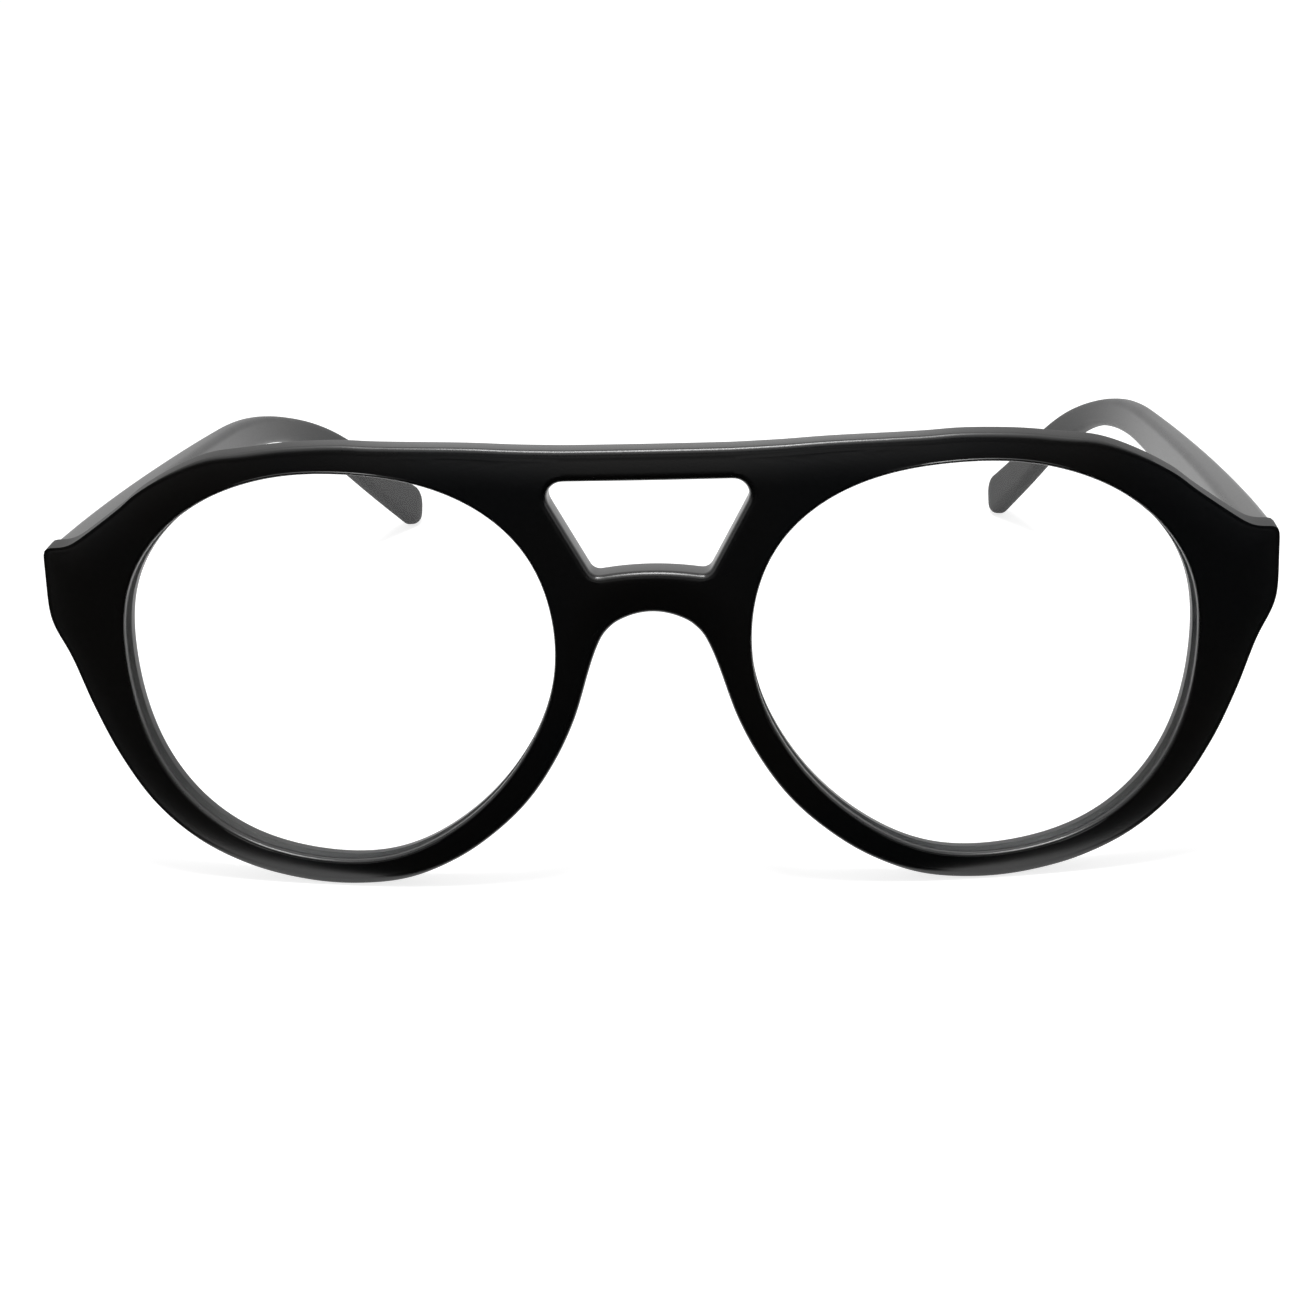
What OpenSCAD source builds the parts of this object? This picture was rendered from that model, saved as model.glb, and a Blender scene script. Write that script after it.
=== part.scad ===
// Aviator eyeglasses with a double bridge, open, standing on the rims and the temple tips.
// +X is the wearer's left, -Y is the way the front faces, +Z is up. Sizes are in millimetres.

/* [Lens openings] */
// Width of each lens opening
eye_w = 51.6; // [48:0.2:56]
// Height of the opening above its widest line
eye_up = 20.5; // [19:0.1:22.5]
// Height of the opening below its widest line
eye_down = 27.2; // [25:0.1:29]
// Distance between the two openings at the nose
nose_gap = 22.7; // [21:0.1:26]
// Roundness of the opening towards brow and temple, where 2 is an ellipse
round_brow_out = 2.05; // [1.8:0.05:2.6]
// Roundness of the opening towards brow and bridge
round_brow_in = 2.35; // [2:0.05:2.8]
// Roundness of the opening towards the nose
round_nose = 1.8; // [1.6:0.05:2.2]
// Roundness of the opening towards the cheek
round_cheek = 2.4; // [2:0.1:2.8]

/* [Rims] */
// Thickness of the front from its face to its back
front_t = 4.2; // [3.8:0.1:5]
// Radius that the whole front is bent to
base_r = 320; // [240:10:500]
// Rim width under the opening
rim_under = 3.25; // [2.4:0.05:4]
// Rim width beside the nose
rim_nose = 3.55; // [3:0.05:5]
// Rim width at the cheek
rim_cheek = 3.4; // [2.4:0.1:4]
// Rim width over the opening
rim_over = 3.2; // [2.4:0.1:4]
// Rim width at the outer brow
rim_brow = 4.55; // [3.6:0.05:5.4]
// Rounding of the outer edges of the front
edge_r = 1.0; // [0.6:0.1:1.2]
// Rounding of the edges around the lens openings
inner_edge_r = 0.4; // [0.2:0.05:0.6]
// Rounding of the edges around the keyhole
key_edge_r = 0.85; // [0.4:0.05:1]

/* [Bridge] */
// Height of the brow bar over the keyhole
bar_h = 3.6; // [2.6:0.1:4.4]
// Height of the brow bar's top over the lens openings
bar_up = 2.7; // [1.8:0.1:3.2]
// Width of the keyhole at its top
key_top_w = 25.4; // [22:0.2:26.4]
// Width of the keyhole at its bottom
key_bottom_w = 13.3; // [11:0.1:14.5]
// Height of the keyhole
key_h = 11.1; // [9:0.1:12]
// Corner radius at the top of the keyhole
key_top_r = 1.8; // [1:0.1:2.4]
// Corner radius at the bottom of the keyhole
key_bottom_r = 1.3; // [0.8:0.1:2]
// Rise of the keyhole's lower edge in its middle
key_arch = 0.5; // [0:0.1:1]
// Height of the lower bridge in its middle
low_bridge_h = 5.0; // [4:0.1:6.5]
// Width of the nose arch at its shoulders
arch_w = 14.1; // [12:0.1:15]

/* [End pieces] */
// Width of the end piece outside the lens opening
end_w = 9.3; // [8.8:0.1:11]
// Height of the end piece
end_h = 9; // [8.6:0.1:11]
// Height of the end piece's middle over the widest line of the opening
end_up = 6.2; // [5:0.1:8]

/* [Lenses] */
// Depth of the groove in the rim
groove_d = 0.7; // [0.4:0.05:0.9]
// Width of the groove at its mouth
groove_w = 1.8; // [1.2:0.1:2]
// Distance from the rim's face to the middle of the groove
groove_y = 1.9; // [1.6:0.1:2.2]
// Edge thickness of the lens
lens_t = 2.0; // [2:0.1:2.4]
// Height of the lens's dome over its edge
lens_dome = 1.6; // [1:0.1:2.5]
// Clearance between the lens's edge and the rim
lens_gap = 0.04; // [0.02:0.01:0.1]

/* [Nose pads] */
// Length of the pad along the rim
pad_l = 13; // [10:0.5:15]
// Depth of the pad behind the rim
pad_d = 4.4; // [3.5:0.1:6]
// Thickness of the pad at the rim
pad_t = 2.1; // [1.7:0.1:2.3]
// Angle that the pad leans out towards the cheek
pad_splay = 8; // [4:1:25]
// Distance of the pad from the rounded edge of the lens opening
pad_in = 0.2; // [0.1:0.05:0.3]
// Direction of the pad's middle from the middle of the opening
pad_place = -160; // [-165:1:-150]

/* [Temples] */
// Thickness of the temple at the hinge
temple_t = 4; // [3.6:0.1:4.4]
// Thickness of the temple at its tip
tip_t = 2.8; // [2.6:0.1:3.8]
// Height of the temple at the hinge
temple_h = 7.4; // [7:0.1:8]
// Height of the temple before its middle
mid_h = 6.6; // [6:0.1:7.4]
// Height of the temple just before the bend
bend_h = 5.4; // [4.8:0.1:6.5]
// Height of the temple at its narrowest, over the ear
ear_h = 3.6; // [3.4:0.1:4.5]
// Height of the temple at its tip
tip_h = 6.8; // [5:0.1:8]
// Length of the run from the hinge end to the bend
temple_run = 71; // [64:1:80]
// Slope of the temple down to the rear
temple_slope = 2.6; // [1.5:0.1:4]
// How far the temple's middle lies under the end piece's middle
temple_down = -0.3; // [-0.5:0.1:0.5]
// How far the temple's outer face lies inside the end piece's edge
temple_inset = 0.1; // [0.05:0.05:0.5]
// Angle that the temple leans inwards at the hinge
toe_in = 0.4; // [0:0.2:3]
// Radius that the whole temple bows inwards with
bow_r = 700; // [600:20:1200]
// Radius of the bend over the ear
bend_r = 107; // [90:1:125]
// Slope of the tip behind the ear
drop_angle = 33.5; // [30:0.5:38]
// Radius that the rear end curls inwards with
curl_r = 1900; // [1000:100:4000]
// Rounding of the temple's long edges
temple_edge_r = 1.1; // [0.6:0.1:1.3]
// Gap between the end piece and the open temple
butt_gap = 0.2; // [0.15:0.05:0.4]

/* [Core wires] */
// Diameter of the core wire
wire_d = 1.4; // [1:0.1:1.6]
// Play of the wire in its channel, on the radius
wire_gap = 0.05; // [0.03:0.01:0.1]
// Distance from the temple's hinge end to the front of the wire
wire_start = 13; // [12:0.5:20]
// Distance from the wire's rear end to the start of the tip's rounding
wire_stop = 12; // [8:0.5:25]

/* [Hinges] */
// Outer diameter of the barrels
barrel_d = 2.7; // [2.4:0.1:2.9]
// Height of one barrel
barrel_h = 1.1; // [1:0.05:1.3]
// Gap between neighbouring barrels
barrel_gap = 0.05; // [0.03:0.01:0.08]
// Diameter of the screw's shank
screw_d = 1.2; // [1:0.05:1.4]
// Running clearance of the screw in the barrels, on the radius
screw_gap = 0.03; // [0.02:0.01:0.06]
// Diameter of the screw's head
head_d = 2.2; // [2:0.1:2.4]
// Height of the screw's head
head_h = 0.5; // [0.4:0.05:0.7]
// Width of the slot in the screw's head
slot_w = 0.35; // [0.25:0.05:0.5]
// Thickness of a hinge leaf's plate
leaf_t = 0.9; // [0.7:0.1:1.1]
// How far a leaf stands proud of the plastic
leaf_proud = 0.2; // [0.1:0.05:0.3]
// Length of the leaf on the temple
leaf_l = 9; // [7:0.5:10]
// Width of the leaf on the front
front_leaf_w = 3.4; // [3:0.1:3.6]
// Depth of the anchor under a leaf
anchor_d = 1.1; // [0.8:0.1:1.2]
// How far the anchor's ends lie inside the ends of its leaf
anchor_in = 1; // [0.6:0.1:1.5]
// Width of the arms between barrels and plate
arm_w = 1.9; // [1.5:0.1:2.2]
// Clearance between a sunk leaf and its pocket
leaf_gap = 0.05; // [0.03:0.01:0.1]
// Free space between the barrels and what they turn past
turn_gap = 0.35; // [0.3:0.05:0.5]

/* [Hidden] */
$fn = 48;

// Colours
black = [0.06, 0.06, 0.065];
pad_black = [0.12, 0.12, 0.125];
clear = [0.85, 0.9, 0.92, 0.35];
steel = [0.72, 0.72, 0.74];

// Places of the lens opening, the end piece and the bridge
eye_x = (nose_gap + eye_w) / 2;
eye_z = rim_under + eye_down;
end_x = nose_gap / 2 + eye_w + end_w;
end_z = eye_z + end_up;
end_top = end_z + end_h / 2;
end_low = end_z - end_h / 2;
bar_z = eye_z + eye_up + bar_up;
key_z1 = bar_z - bar_h;
key_z0 = key_z1 - key_h;
arch_z = key_z0 + key_arch - low_bridge_h;

function unit(v) = v / norm(v);
// Depth of the bent face at a distance from the middle of the front
function bend_y(x) = base_r - sqrt(base_r * base_r - x * x);

// The lens opening: four quarter curves that run into each other, as a radius for each direction
function ease(v) = let (t = max(-1, min(1, 2 * v))) (1 + t * (3 - t * t) / 2) / 2;
function eye_power(a) = let (u = ease(cos(a)), v = ease(sin(a)))
    v * (u * round_brow_out + (1 - u) * round_brow_in)
    + (1 - v) * (u * round_cheek + (1 - u) * round_nose);
function eye_radius(a) = let (q = eye_power(a), h = sin(a) >= 0 ? eye_up : eye_down)
    pow(pow(abs(cos(a)) * 2 / eye_w, q) + pow(abs(sin(a)) / h, q), -1 / q);
function eye_pt(a) = [eye_x, eye_z] + eye_radius(a) * [cos(a), sin(a)];
function eye_normal(a) = let (d = eye_pt(a + 0.5) - eye_pt(a - 0.5)) unit([d[1], -d[0]]);

// Width of the rim at each direction from the middle of the opening
rim_widths = [[-175, rim_nose + 0.45], [-160, rim_nose - 0.1], [-138, rim_nose + 0.1],
    [-114, rim_nose - 0.05], [-90, rim_under], [-60, rim_cheek], [-42, rim_cheek + 0.6],
    [-30, rim_cheek + 1.05], [-18, end_w - 3.9], [-6, end_w - 2.4], [30, rim_brow + 0.85],
    [46, rim_brow], [56, rim_brow - 0.35], [66, rim_over + 0.3], [78, rim_over],
    [88, rim_over], [106, rim_over + 0.25]];
function rim_pt(a) = let (p = eye_pt(a) + lookup(a, rim_widths) * eye_normal(a)) [p[0], p[1], a];

// One side of the keyhole from its lower to its upper corner. Each station of an outline is
// [x, z, direction of the facing point of the lens opening, x and z of the normal out of the plastic].
key_slant = atan2(key_h, (key_top_w - key_bottom_w) / 2);
key_low_x = key_bottom_w / 2 - key_bottom_r * tan(key_slant / 2);
seam_x = key_top_w / 2 - key_top_r / tan(key_slant / 2);
function key_arc(x, z, r, from, to, steps, a0, a1) = [for (k = [0 : steps])
    let (w = from + (to - from) * k / steps)
    [x - r * cos(w), z - r * sin(w), a0 + (a1 - a0) * k / steps, cos(w), sin(w)]];
key_side = concat(
    key_arc(key_low_x, key_z0 + key_bottom_r, key_bottom_r, 90, 90 + key_slant, 3, -202, -205),
    key_arc(seam_x, key_z1 - key_top_r, key_top_r, 90 + key_slant, 270, 5, -217, -229));

// Marks of one half of the outer outline, from the brow bar round the rim to the nose arch
arch_x = arch_w / 2 - 2.6;
arch_drop = 1.35;
outline_marks = concat(
    [[seam_x, bar_z, 124], [seam_x + 5.5, bar_z + 0.15, 119], [seam_x + 11.5, bar_z + 0.4, 113]],
    [for (a = [106 : -10 : 36]) rim_pt(a)],
    [rim_pt(30),
    [end_x - 5.6, end_top + 1.75, 24],
    [end_x - 3.5, end_top + 0.4, 20.5],
    [end_x - 1.9, end_top, 18],
    [end_x - 0.9, end_top - 0.1, 16.5],
    [end_x - 0.3, end_top - 0.65, 15],
    [end_x - 0.1, end_top - 1.6, 13.5],
    [end_x - 0.03, end_top - 3.3, 11],
    [end_x, end_low + 2.2, 6.5],
    [end_x - 0.2, end_low + 0.2, 3],
    [end_x - 0.8, end_low - 1.5, 0]],
    [for (a = [-6 : -12 : -174]) rim_pt(a)],
    [[arch_w / 2 - 0.3, arch_z - 4.8, -179],
    [arch_w / 2 - 1.3, arch_z - 2.7, -183],
    [arch_x, arch_z - arch_drop, -187]]);

// A smooth curve through the marks, in steps between each two, with the normal to its left
mark_steps = 2;
function mark(m, i) = i < 0 ? 2 * m[0] - m[1] : i >= len(m) ? 2 * m[len(m) - 1] - m[len(m) - 2] : m[i];
function curve_pt(p, q, r, s, t) =
    (2 * q + (r - p) * t + (2 * p - 5 * q + 4 * r - s) * t * t + (3 * q - p - 3 * r + s) * t * t * t) / 2;
function curve_dir(p, q, r, s, t) =
    ((r - p) + 2 * (2 * p - 5 * q + 4 * r - s) * t + 3 * (3 * q - p - 3 * r + s) * t * t) / 2;
function station(v, d) = let (n = unit([-d[1], d[0]])) [v[0], v[1], v[2], n[0], n[1]];
function smooth(m) = [for (i = [0 : len(m) - 2], k = [0 : mark_steps - (i == len(m) - 2 ? 0 : 1)])
    let (p = mark(m, i - 1), q = m[i], r = m[i + 1], s = mark(m, i + 2), t = k / mark_steps)
    station(curve_pt(p, q, r, s, t), curve_dir(p, q, r, s, t))];
outline = smooth(outline_marks);
ring = concat(outline, key_side);
ring_n = len(ring);
arch_i = len(outline) - 1;

// Edge of the front at a station: six points from the back to the face, rounded with radius r
round_in = 1 - sqrt(0.5);
function bent(p, depth) = [p[0], bend_y(p[0]) + depth, p[1]];
// The same for what is cut square to the bent front: with the depth it comes nearer to the middle
function square(p, depth) = bent([p[0] * (1 - depth / base_r), p[1]], depth);
function edge_pts(s, r) = let (p = [s[0], s[1]], n = [s[3], s[4]])
    [for (e = [[1, 0], [round_in, round_in], [0, 1]]) bent(p - e[0] * r * n, front_t - e[1] * r),
    for (e = [[0, 1], [round_in, round_in], [1, 0]]) bent(p - e[0] * r * n, e[1] * r)];
// Wall of the lens opening at a direction, from face to back, with the groove for the lens
function wall_pts(a) = let (p = eye_pt(a), n = eye_normal(a), r = inner_edge_r)
    [for (e = [[r, 0], [0, r], [0, groove_y - groove_w / 2], [groove_d, groove_y],
    [0, groove_y + groove_w / 2], [0, front_t - r], [r, front_t]]) square(p + e[0] * n, e[1])];
// Whole section of the rim at a station, as a closed loop
function middle(u, v, depth) = let (m = (u + v) / 2) bent([m[0], m[2]], depth);
function rim_section(s, r) = let (w = wall_pts(s[2]), e = edge_pts(s, r))
    concat(w, [middle(w[6], e[0], front_t)], e, [middle(e[5], w[0], 0)]);
function mirrored(pts) = [for (p = pts) [-p[0], p[1], p[2]]];

// The front is one skin. A section runs round each lens opening. Where the two halves meet, at the brow
// bar and at the lower bridge, its outer edge is left open and the bars between the halves join on.
sec_n = 15;
edge_at = 8;
half_pts = [for (i = [0 : ring_n - 1]) each rim_section(ring[i], i <= arch_i ? edge_r : key_edge_r)];
half_n = len(half_pts);
bar_steps = 4;
low_steps = 8;
function bar_column(f) = concat(
    edge_pts([f * seam_x, bar_z, 0, 0, 1], edge_r),
    rev(edge_pts([f * seam_x, key_z1, 0, 0, -1], key_edge_r)));
function low_column(f) = let (n = unit([-2 * f * arch_drop, -arch_x])) concat(
    edge_pts([f * key_low_x, key_z0 + key_arch * (1 - f * f), 0, 0, 1], key_edge_r),
    rev(edge_pts([f * arch_x, arch_z - arch_drop * f * f, 0, n[0], n[1]], edge_r)));
function rev(v) = [for (i = [len(v) - 1 : -1 : 0]) v[i]];
bar_pts = [for (k = [1 : bar_steps - 1]) each bar_column(2 * k / bar_steps - 1)];
low_pts = [for (k = [1 : low_steps - 1]) each low_column(2 * k / low_steps - 1)];
front_pts = concat(half_pts, mirrored(half_pts), bar_pts, low_pts);
bar_base = 2 * half_n;
low_base = bar_base + len(bar_pts);

function quad(a, b, c, d, flip) = flip ? [[a, c, b], [a, d, c]] : [[a, b, c], [a, c, d]];
function half_faces(base, flip) = [for (i = [0 : ring_n - 1], j = [0 : sec_n - 1])
    if (!((i == arch_i || i == ring_n - 1) && j >= edge_at && j < edge_at + 5))
    let (i2 = (i + 1) % ring_n, j2 = (j + 1) % sec_n)
    each quad(base + i * sec_n + j, base + i2 * sec_n + j, base + i2 * sec_n + j2, base + i * sec_n + j2, flip)];
// Point numbers of one column of a bar: the ends belong to the halves, the rest to the bar
function edge_ids(base, i) = [for (j = [0 : 5]) base + i * sec_n + edge_at + j];
function end_ids(base, i, k) = concat(edge_ids(base, i), rev(edge_ids(base, k)));
function column_ids(c, steps, base, i, k) = c == 0 ? end_ids(half_n, i, k)
    : c == steps ? end_ids(0, i, k) : [for (j = [0 : 11]) base + (c - 1) * 12 + j];
function bar_faces(steps, base, i, k) = [for (c = [0 : steps - 1])
    let (u = column_ids(c, steps, base, i, k), v = column_ids(c + 1, steps, base, i, k))
    for (j = [0 : 11]) each quad(u[j], v[j], v[(j + 1) % 12], u[(j + 1) % 12], false)];

module front_body() {
    polyhedron(points = front_pts, convexity = 8, faces = concat(
        half_faces(0, false),
        half_faces(half_n, true),
        bar_faces(bar_steps, bar_base, 0, ring_n - 1),
        bar_faces(low_steps, low_base, arch_i + 1, arch_i)));
}

// The lens: its dome rises from an edge that follows the bend of the front, and its bevel fills the groove
dome_rings = [0.42, 0.8];
function dome_pt(a, f, side) = let (p = [eye_x, eye_z] + f * (eye_pt(a) - lens_gap * eye_normal(a) - [eye_x, eye_z]))
    square(p, groove_y + side * lens_t / 2 - lens_dome * (1 - f * f));
function bevel_pt(a, out, depth) = square(eye_pt(a) + out * eye_normal(a), groove_y + depth);
function lens_section(a) = let (b = groove_w / 2 - lens_gap) [
    dome_pt(a, dome_rings[0], -1), dome_pt(a, dome_rings[1], -1), dome_pt(a, 1, -1),
    bevel_pt(a, -lens_gap, -b), bevel_pt(a, groove_d - 2 * lens_gap, 0), bevel_pt(a, -lens_gap, b),
    dome_pt(a, 1, 1), dome_pt(a, dome_rings[1], 1), dome_pt(a, dome_rings[0], 1)];
lens_n = 9;
module lens() {
    pts = [for (s = ring) each lens_section(s[2])];
    polyhedron(points = concat(pts, [dome_pt(0, 0, -1), dome_pt(0, 0, 1)]), convexity = 4, faces = [
        for (i = [0 : ring_n - 1]) let (k = (i + 1) % ring_n, u = i * lens_n, v = k * lens_n)
        each concat(
            [[ring_n * lens_n, u, v], [ring_n * lens_n + 1, v + lens_n - 1, u + lens_n - 1]],
            [for (j = [0 : lens_n - 2]) each quad(u + j, v + j, v + j + 1, u + j + 1, true)])]);
}

// The nose pad: half an oval on the flat of the rim's back, leaning out towards the cheek
pad_mid = inner_edge_r + pad_t / 2 + pad_in;
pad_seat = 0.02;
pad_steps = 8;
pad_span = pad_l / 2 / eye_radius(pad_place) * 180 / PI;
function pad_pt(t, w) = let (a = pad_place - t * pad_span, n = eye_normal(a), f = sqrt(1 - t * t),
    back = pad_d * f * sin(w), side = pad_t / 2 * (0.4 + 0.6 * f) * f * cos(w))
    square(eye_pt(a) + (pad_mid + side - back * tan(pad_splay)) * n, front_t + pad_seat + back);
module nose_pad() {
    rows = [for (k = [1 : 11], w = [0 : pad_steps]) pad_pt(-cos(k * 15), w * 180 / pad_steps)];
    row_n = pad_steps + 1;
    tip = len(rows);
    polyhedron(points = concat(rows, [pad_pt(-1, 0), pad_pt(1, 0)]), convexity = 4, faces = concat(
        [for (k = [0 : 9], j = [0 : row_n - 1]) let (u = k * row_n, v = u + row_n, j2 = (j + 1) % row_n)
        each quad(u + j, v + j, v + j2, u + j2, true)],
        [for (j = [0 : row_n - 1]) let (j2 = (j + 1) % row_n) [tip, j2, j]],
        [for (j = [0 : row_n - 1]) let (j2 = (j + 1) % row_n) [tip + 1, 10 * row_n + j, 10 * row_n + j2]]));
}

// The temple's path: back with its slope, its lean and its bow, over the bend and down to the tip
thick_run = 14;
temple_x = end_x - temple_inset - temple_t / 2;
temple_y = bend_y(temple_x) + front_t + butt_gap;
temple_z = end_z - temple_down;
arc_l = bend_r * (drop_angle - temple_slope) * PI / 180;
bend_end_y = temple_y + temple_run * cos(temple_slope) + bend_r * (sin(drop_angle) - sin(temple_slope));
bend_end_z = temple_z - temple_run * sin(temple_slope) - bend_r * (cos(temple_slope) - cos(drop_angle));
tail_l = (bend_end_z - tip_h / 2) / sin(drop_angle);
path_l = temple_run + arc_l + tail_l;
function path_x(s) = let (c = max(0, s - temple_run))
    temple_x - tan(toe_in) * s - s * s / (2 * bow_r) - c * c / (2 * curl_r);
function path_lean(s) = tan(toe_in) + s / bow_r + max(0, s - temple_run) / curl_r;
function path_slope(s) = temple_slope + max(0, min(arc_l, s - temple_run)) / bend_r * 180 / PI;
function path_pt(s) = let (w = path_slope(s), c = max(0, s - temple_run - arc_l))
    [path_x(s),
    s < temple_run ? temple_y + s * cos(w)
        : bend_end_y - bend_r * (sin(drop_angle) - sin(w)) + c * cos(w),
    s < temple_run ? temple_z - s * sin(w)
        : bend_end_z + bend_r * (cos(w) - cos(drop_angle)) - c * sin(w)];
function path_up(s) = [0, sin(path_slope(s)), cos(path_slope(s))];
function path_side(s) = let (w = path_slope(s)) unit(cross([-path_lean(s), cos(w), -sin(w)], path_up(s)));
// Places of two of the temple's heights, as shares of its run
mid_at = 0.4;
bend_at = 0.9;
function height_at(s) = lookup(s, [[0, temple_h], [mid_at * temple_run, mid_h],
    [bend_at * temple_run, bend_h], [temple_run + arc_l / 2, ear_h], [path_l, tip_h]]);
function thick_at(s) = lookup(s, [[0, temple_t], [thick_run, temple_t], [temple_run, tip_t]]);

// A temple section: a rectangle with rounded corners. Stations of the rounded end shrink it by f.
corner_steps = 2;
function box_loop(t, h, r) = [for (q = [0 : 3], k = [0 : corner_steps]) let (w = q * 90 + k * 90 / corner_steps)
    [(q == 0 || q == 3 ? 1 : -1) * (t / 2 - r) + r * cos(w), (q < 2 ? 1 : -1) * (h / 2 - r) + r * sin(w)]];
function temple_section(s, f) = let (past = tip_h / 2 * sqrt(1 - f * f), c = path_pt(s), u = path_side(s),
    v = path_up(s), g = unit(cross(v, u)), t = thick_at(s) * (0.4 + 0.6 * f), h = height_at(s) * f)
    [for (p = box_loop(t, h, min(temple_edge_r, 0.49 * h, 0.49 * t)))
    let (e = c + p[0] * u + p[1] * v + past * g)
    s == 0 ? [e[0], bend_y(e[0]) + front_t + butt_gap, e[2]] : e];
temple_stations = concat(
    [for (s = [0, 4, thick_run]) [s, 1]],
    [for (k = [1 : 5]) [thick_run + (temple_run - thick_run) * k / 5, 1]],
    [for (k = [1 : 7]) [temple_run + arc_l * k / 7, 1]],
    [for (k = [1 : 5]) [temple_run + arc_l + tail_l * k / 5, 1]],
    [for (w = [25, 50, 68, 82]) [path_l, cos(w)]]);

// A skin over rows of points, each row a closed loop, closed with a flat cap at each end
function skin_faces(rows, cols) = concat(
    [[for (j = [cols - 1 : -1 : 0]) j]],
    [[for (j = [0 : cols - 1]) (rows - 1) * cols + j]],
    [for (i = [0 : rows - 2], j = [0 : cols - 1]) let (u = i * cols, v = u + cols, j2 = (j + 1) % cols)
    each quad(u + j, v + j, v + j2, u + j2, true)]);
module skin(loops) {
    polyhedron(points = [for (l = loops) each l], faces = skin_faces(len(loops), len(loops[0])), convexity = 6);
}

// A round wire along the temple's path, from one station to another
wire_sides = 8;
function wire_loop(s, r) = let (c = path_pt(s), u = path_side(s), v = path_up(s))
    [for (k = [0 : wire_sides - 1]) let (w = (k + 0.5) * 360 / wire_sides) c + r * (cos(w) * u + sin(w) * v)];
wire_end = path_l - wire_stop;
module wire(r, longer) {
    skin([for (s = concat([wire_start - longer],
        [for (k = [1 : 3]) wire_start + (temple_run - wire_start) * k / 3],
        [for (k = [1 : 6]) temple_run + arc_l * k / 6],
        [(temple_run + arc_l + wire_end) / 2, wire_end + longer])) wire_loop(s, r)]);
}

// The hinge: its axis stands inside the corner between the end piece's back and the temple's inner face
barrel_r = barrel_d / 2;
reach = barrel_r + turn_gap;
temple_in_x = temple_x - temple_t / 2;
hinge_x = temple_in_x - reach - leaf_proud - reach * sin(toe_in);
front_turn = asin(hinge_x / base_r);
hinge_y = bend_y(hinge_x) + front_t + (reach + leaf_proud) / cos(front_turn);
stack_h = 5 * barrel_h + 4 * barrel_gap;
stack_z = (end_z + temple_z - stack_h) / 2;
face_x = (temple_in_x - hinge_x) * cos(toe_in)
    + (bend_y(temple_in_x) + front_t + butt_gap - hinge_y) * sin(toe_in);

// Barrels of one leaf, as a list of the levels that it takes, each with an arm to its plate
module barrel(level) {
    translate([0, 0, stack_z + level * (barrel_h + barrel_gap)]) cylinder(h = barrel_h, r = barrel_r);
}
module bore() {
    translate([0, 0, stack_z - 1]) cylinder(h = stack_h + 2, d = screw_d + 2 * screw_gap);
}
module block(x0, x1, y0, y1, z0, z1) {
    translate([x0, y0, z0]) cube([x1 - x0, y1 - y0, z1 - z0]);
}

// The front's leaf in the hinge's place: plate and anchor, larger by a clearance to cut their pocket
side_in = 0.6;
sunk = 0.1;
module front_sunk(clear_by) {
    w = front_leaf_w / 2 + clear_by;
    deep = reach + leaf_t + clear_by;
    block(-w, w, -deep, -reach, stack_z - clear_by, stack_z + stack_h + clear_by);
    block(-w + side_in, w - side_in, -deep - anchor_d, -deep + sunk,
        stack_z + anchor_in - clear_by, stack_z + stack_h - anchor_in + clear_by);
}
module at_front_leaf() {
    translate([hinge_x, hinge_y, 0]) rotate([0, 0, front_turn]) children();
}
module front_leaf() {
    at_front_leaf() difference() {
        union() {
            front_sunk(0);
            for (level = [0, 2, 4]) {
                barrel(level);
                z = stack_z + level * (barrel_h + barrel_gap);
                block(-arm_w / 2, arm_w / 2, -reach - leaf_t / 2, 0, z, z + barrel_h);
            }
        }
        bore();
    }
}

// The temple's leaf in the hinge's place, in the same way
module temple_sunk(clear_by) {
    x0 = face_x - leaf_proud;
    x1 = x0 + leaf_t + clear_by;
    z0 = stack_z - clear_by;
    z1 = stack_z + stack_h + clear_by;
    block(x0, x1, reach / 2 - clear_by, leaf_l + clear_by, z0, z1);
    block(x1 - sunk, x1 + anchor_d, reach / 2 + 2 * anchor_in - clear_by, leaf_l - anchor_in + clear_by,
        z0 + anchor_in, z1 - anchor_in);
}
module at_temple_leaf() {
    translate([hinge_x, hinge_y, 0]) rotate([0, 0, toe_in]) children();
}
module temple_leaf() {
    at_temple_leaf() difference() {
        union() {
            temple_sunk(0);
            for (level = [1, 3]) {
                barrel(level);
                z = stack_z + level * (barrel_h + barrel_gap);
                block(0, face_x - leaf_proud + leaf_t, 0, arm_w, z, z + barrel_h);
            }
        }
        bore();
    }
}
module screw() {
    translate([hinge_x, hinge_y, 0]) {
        translate([0, 0, stack_z]) cylinder(h = stack_h + barrel_gap, d = screw_d);
        difference() {
            translate([0, 0, stack_z + stack_h + barrel_gap]) cylinder(h = head_h, d = head_d);
            translate([-head_d, -slot_w / 2, stack_z + stack_h + barrel_gap + head_h / 2]) cube([2 * head_d, slot_w, head_h]);
        }
    }
}
module temple_body() {
    difference() {
        skin([for (s = temple_stations) temple_section(s[0], s[1])]);
        wire(wire_d / 2 + wire_gap, wire_gap);
        at_temple_leaf() {
            temple_sunk(leaf_gap);
            block(-1, face_x - leaf_proud + leaf_t + leaf_gap, -reach, reach / 2 + 0.1,
                stack_z - leaf_gap, stack_z + stack_h + leaf_gap);
        }
    }
}

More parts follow.
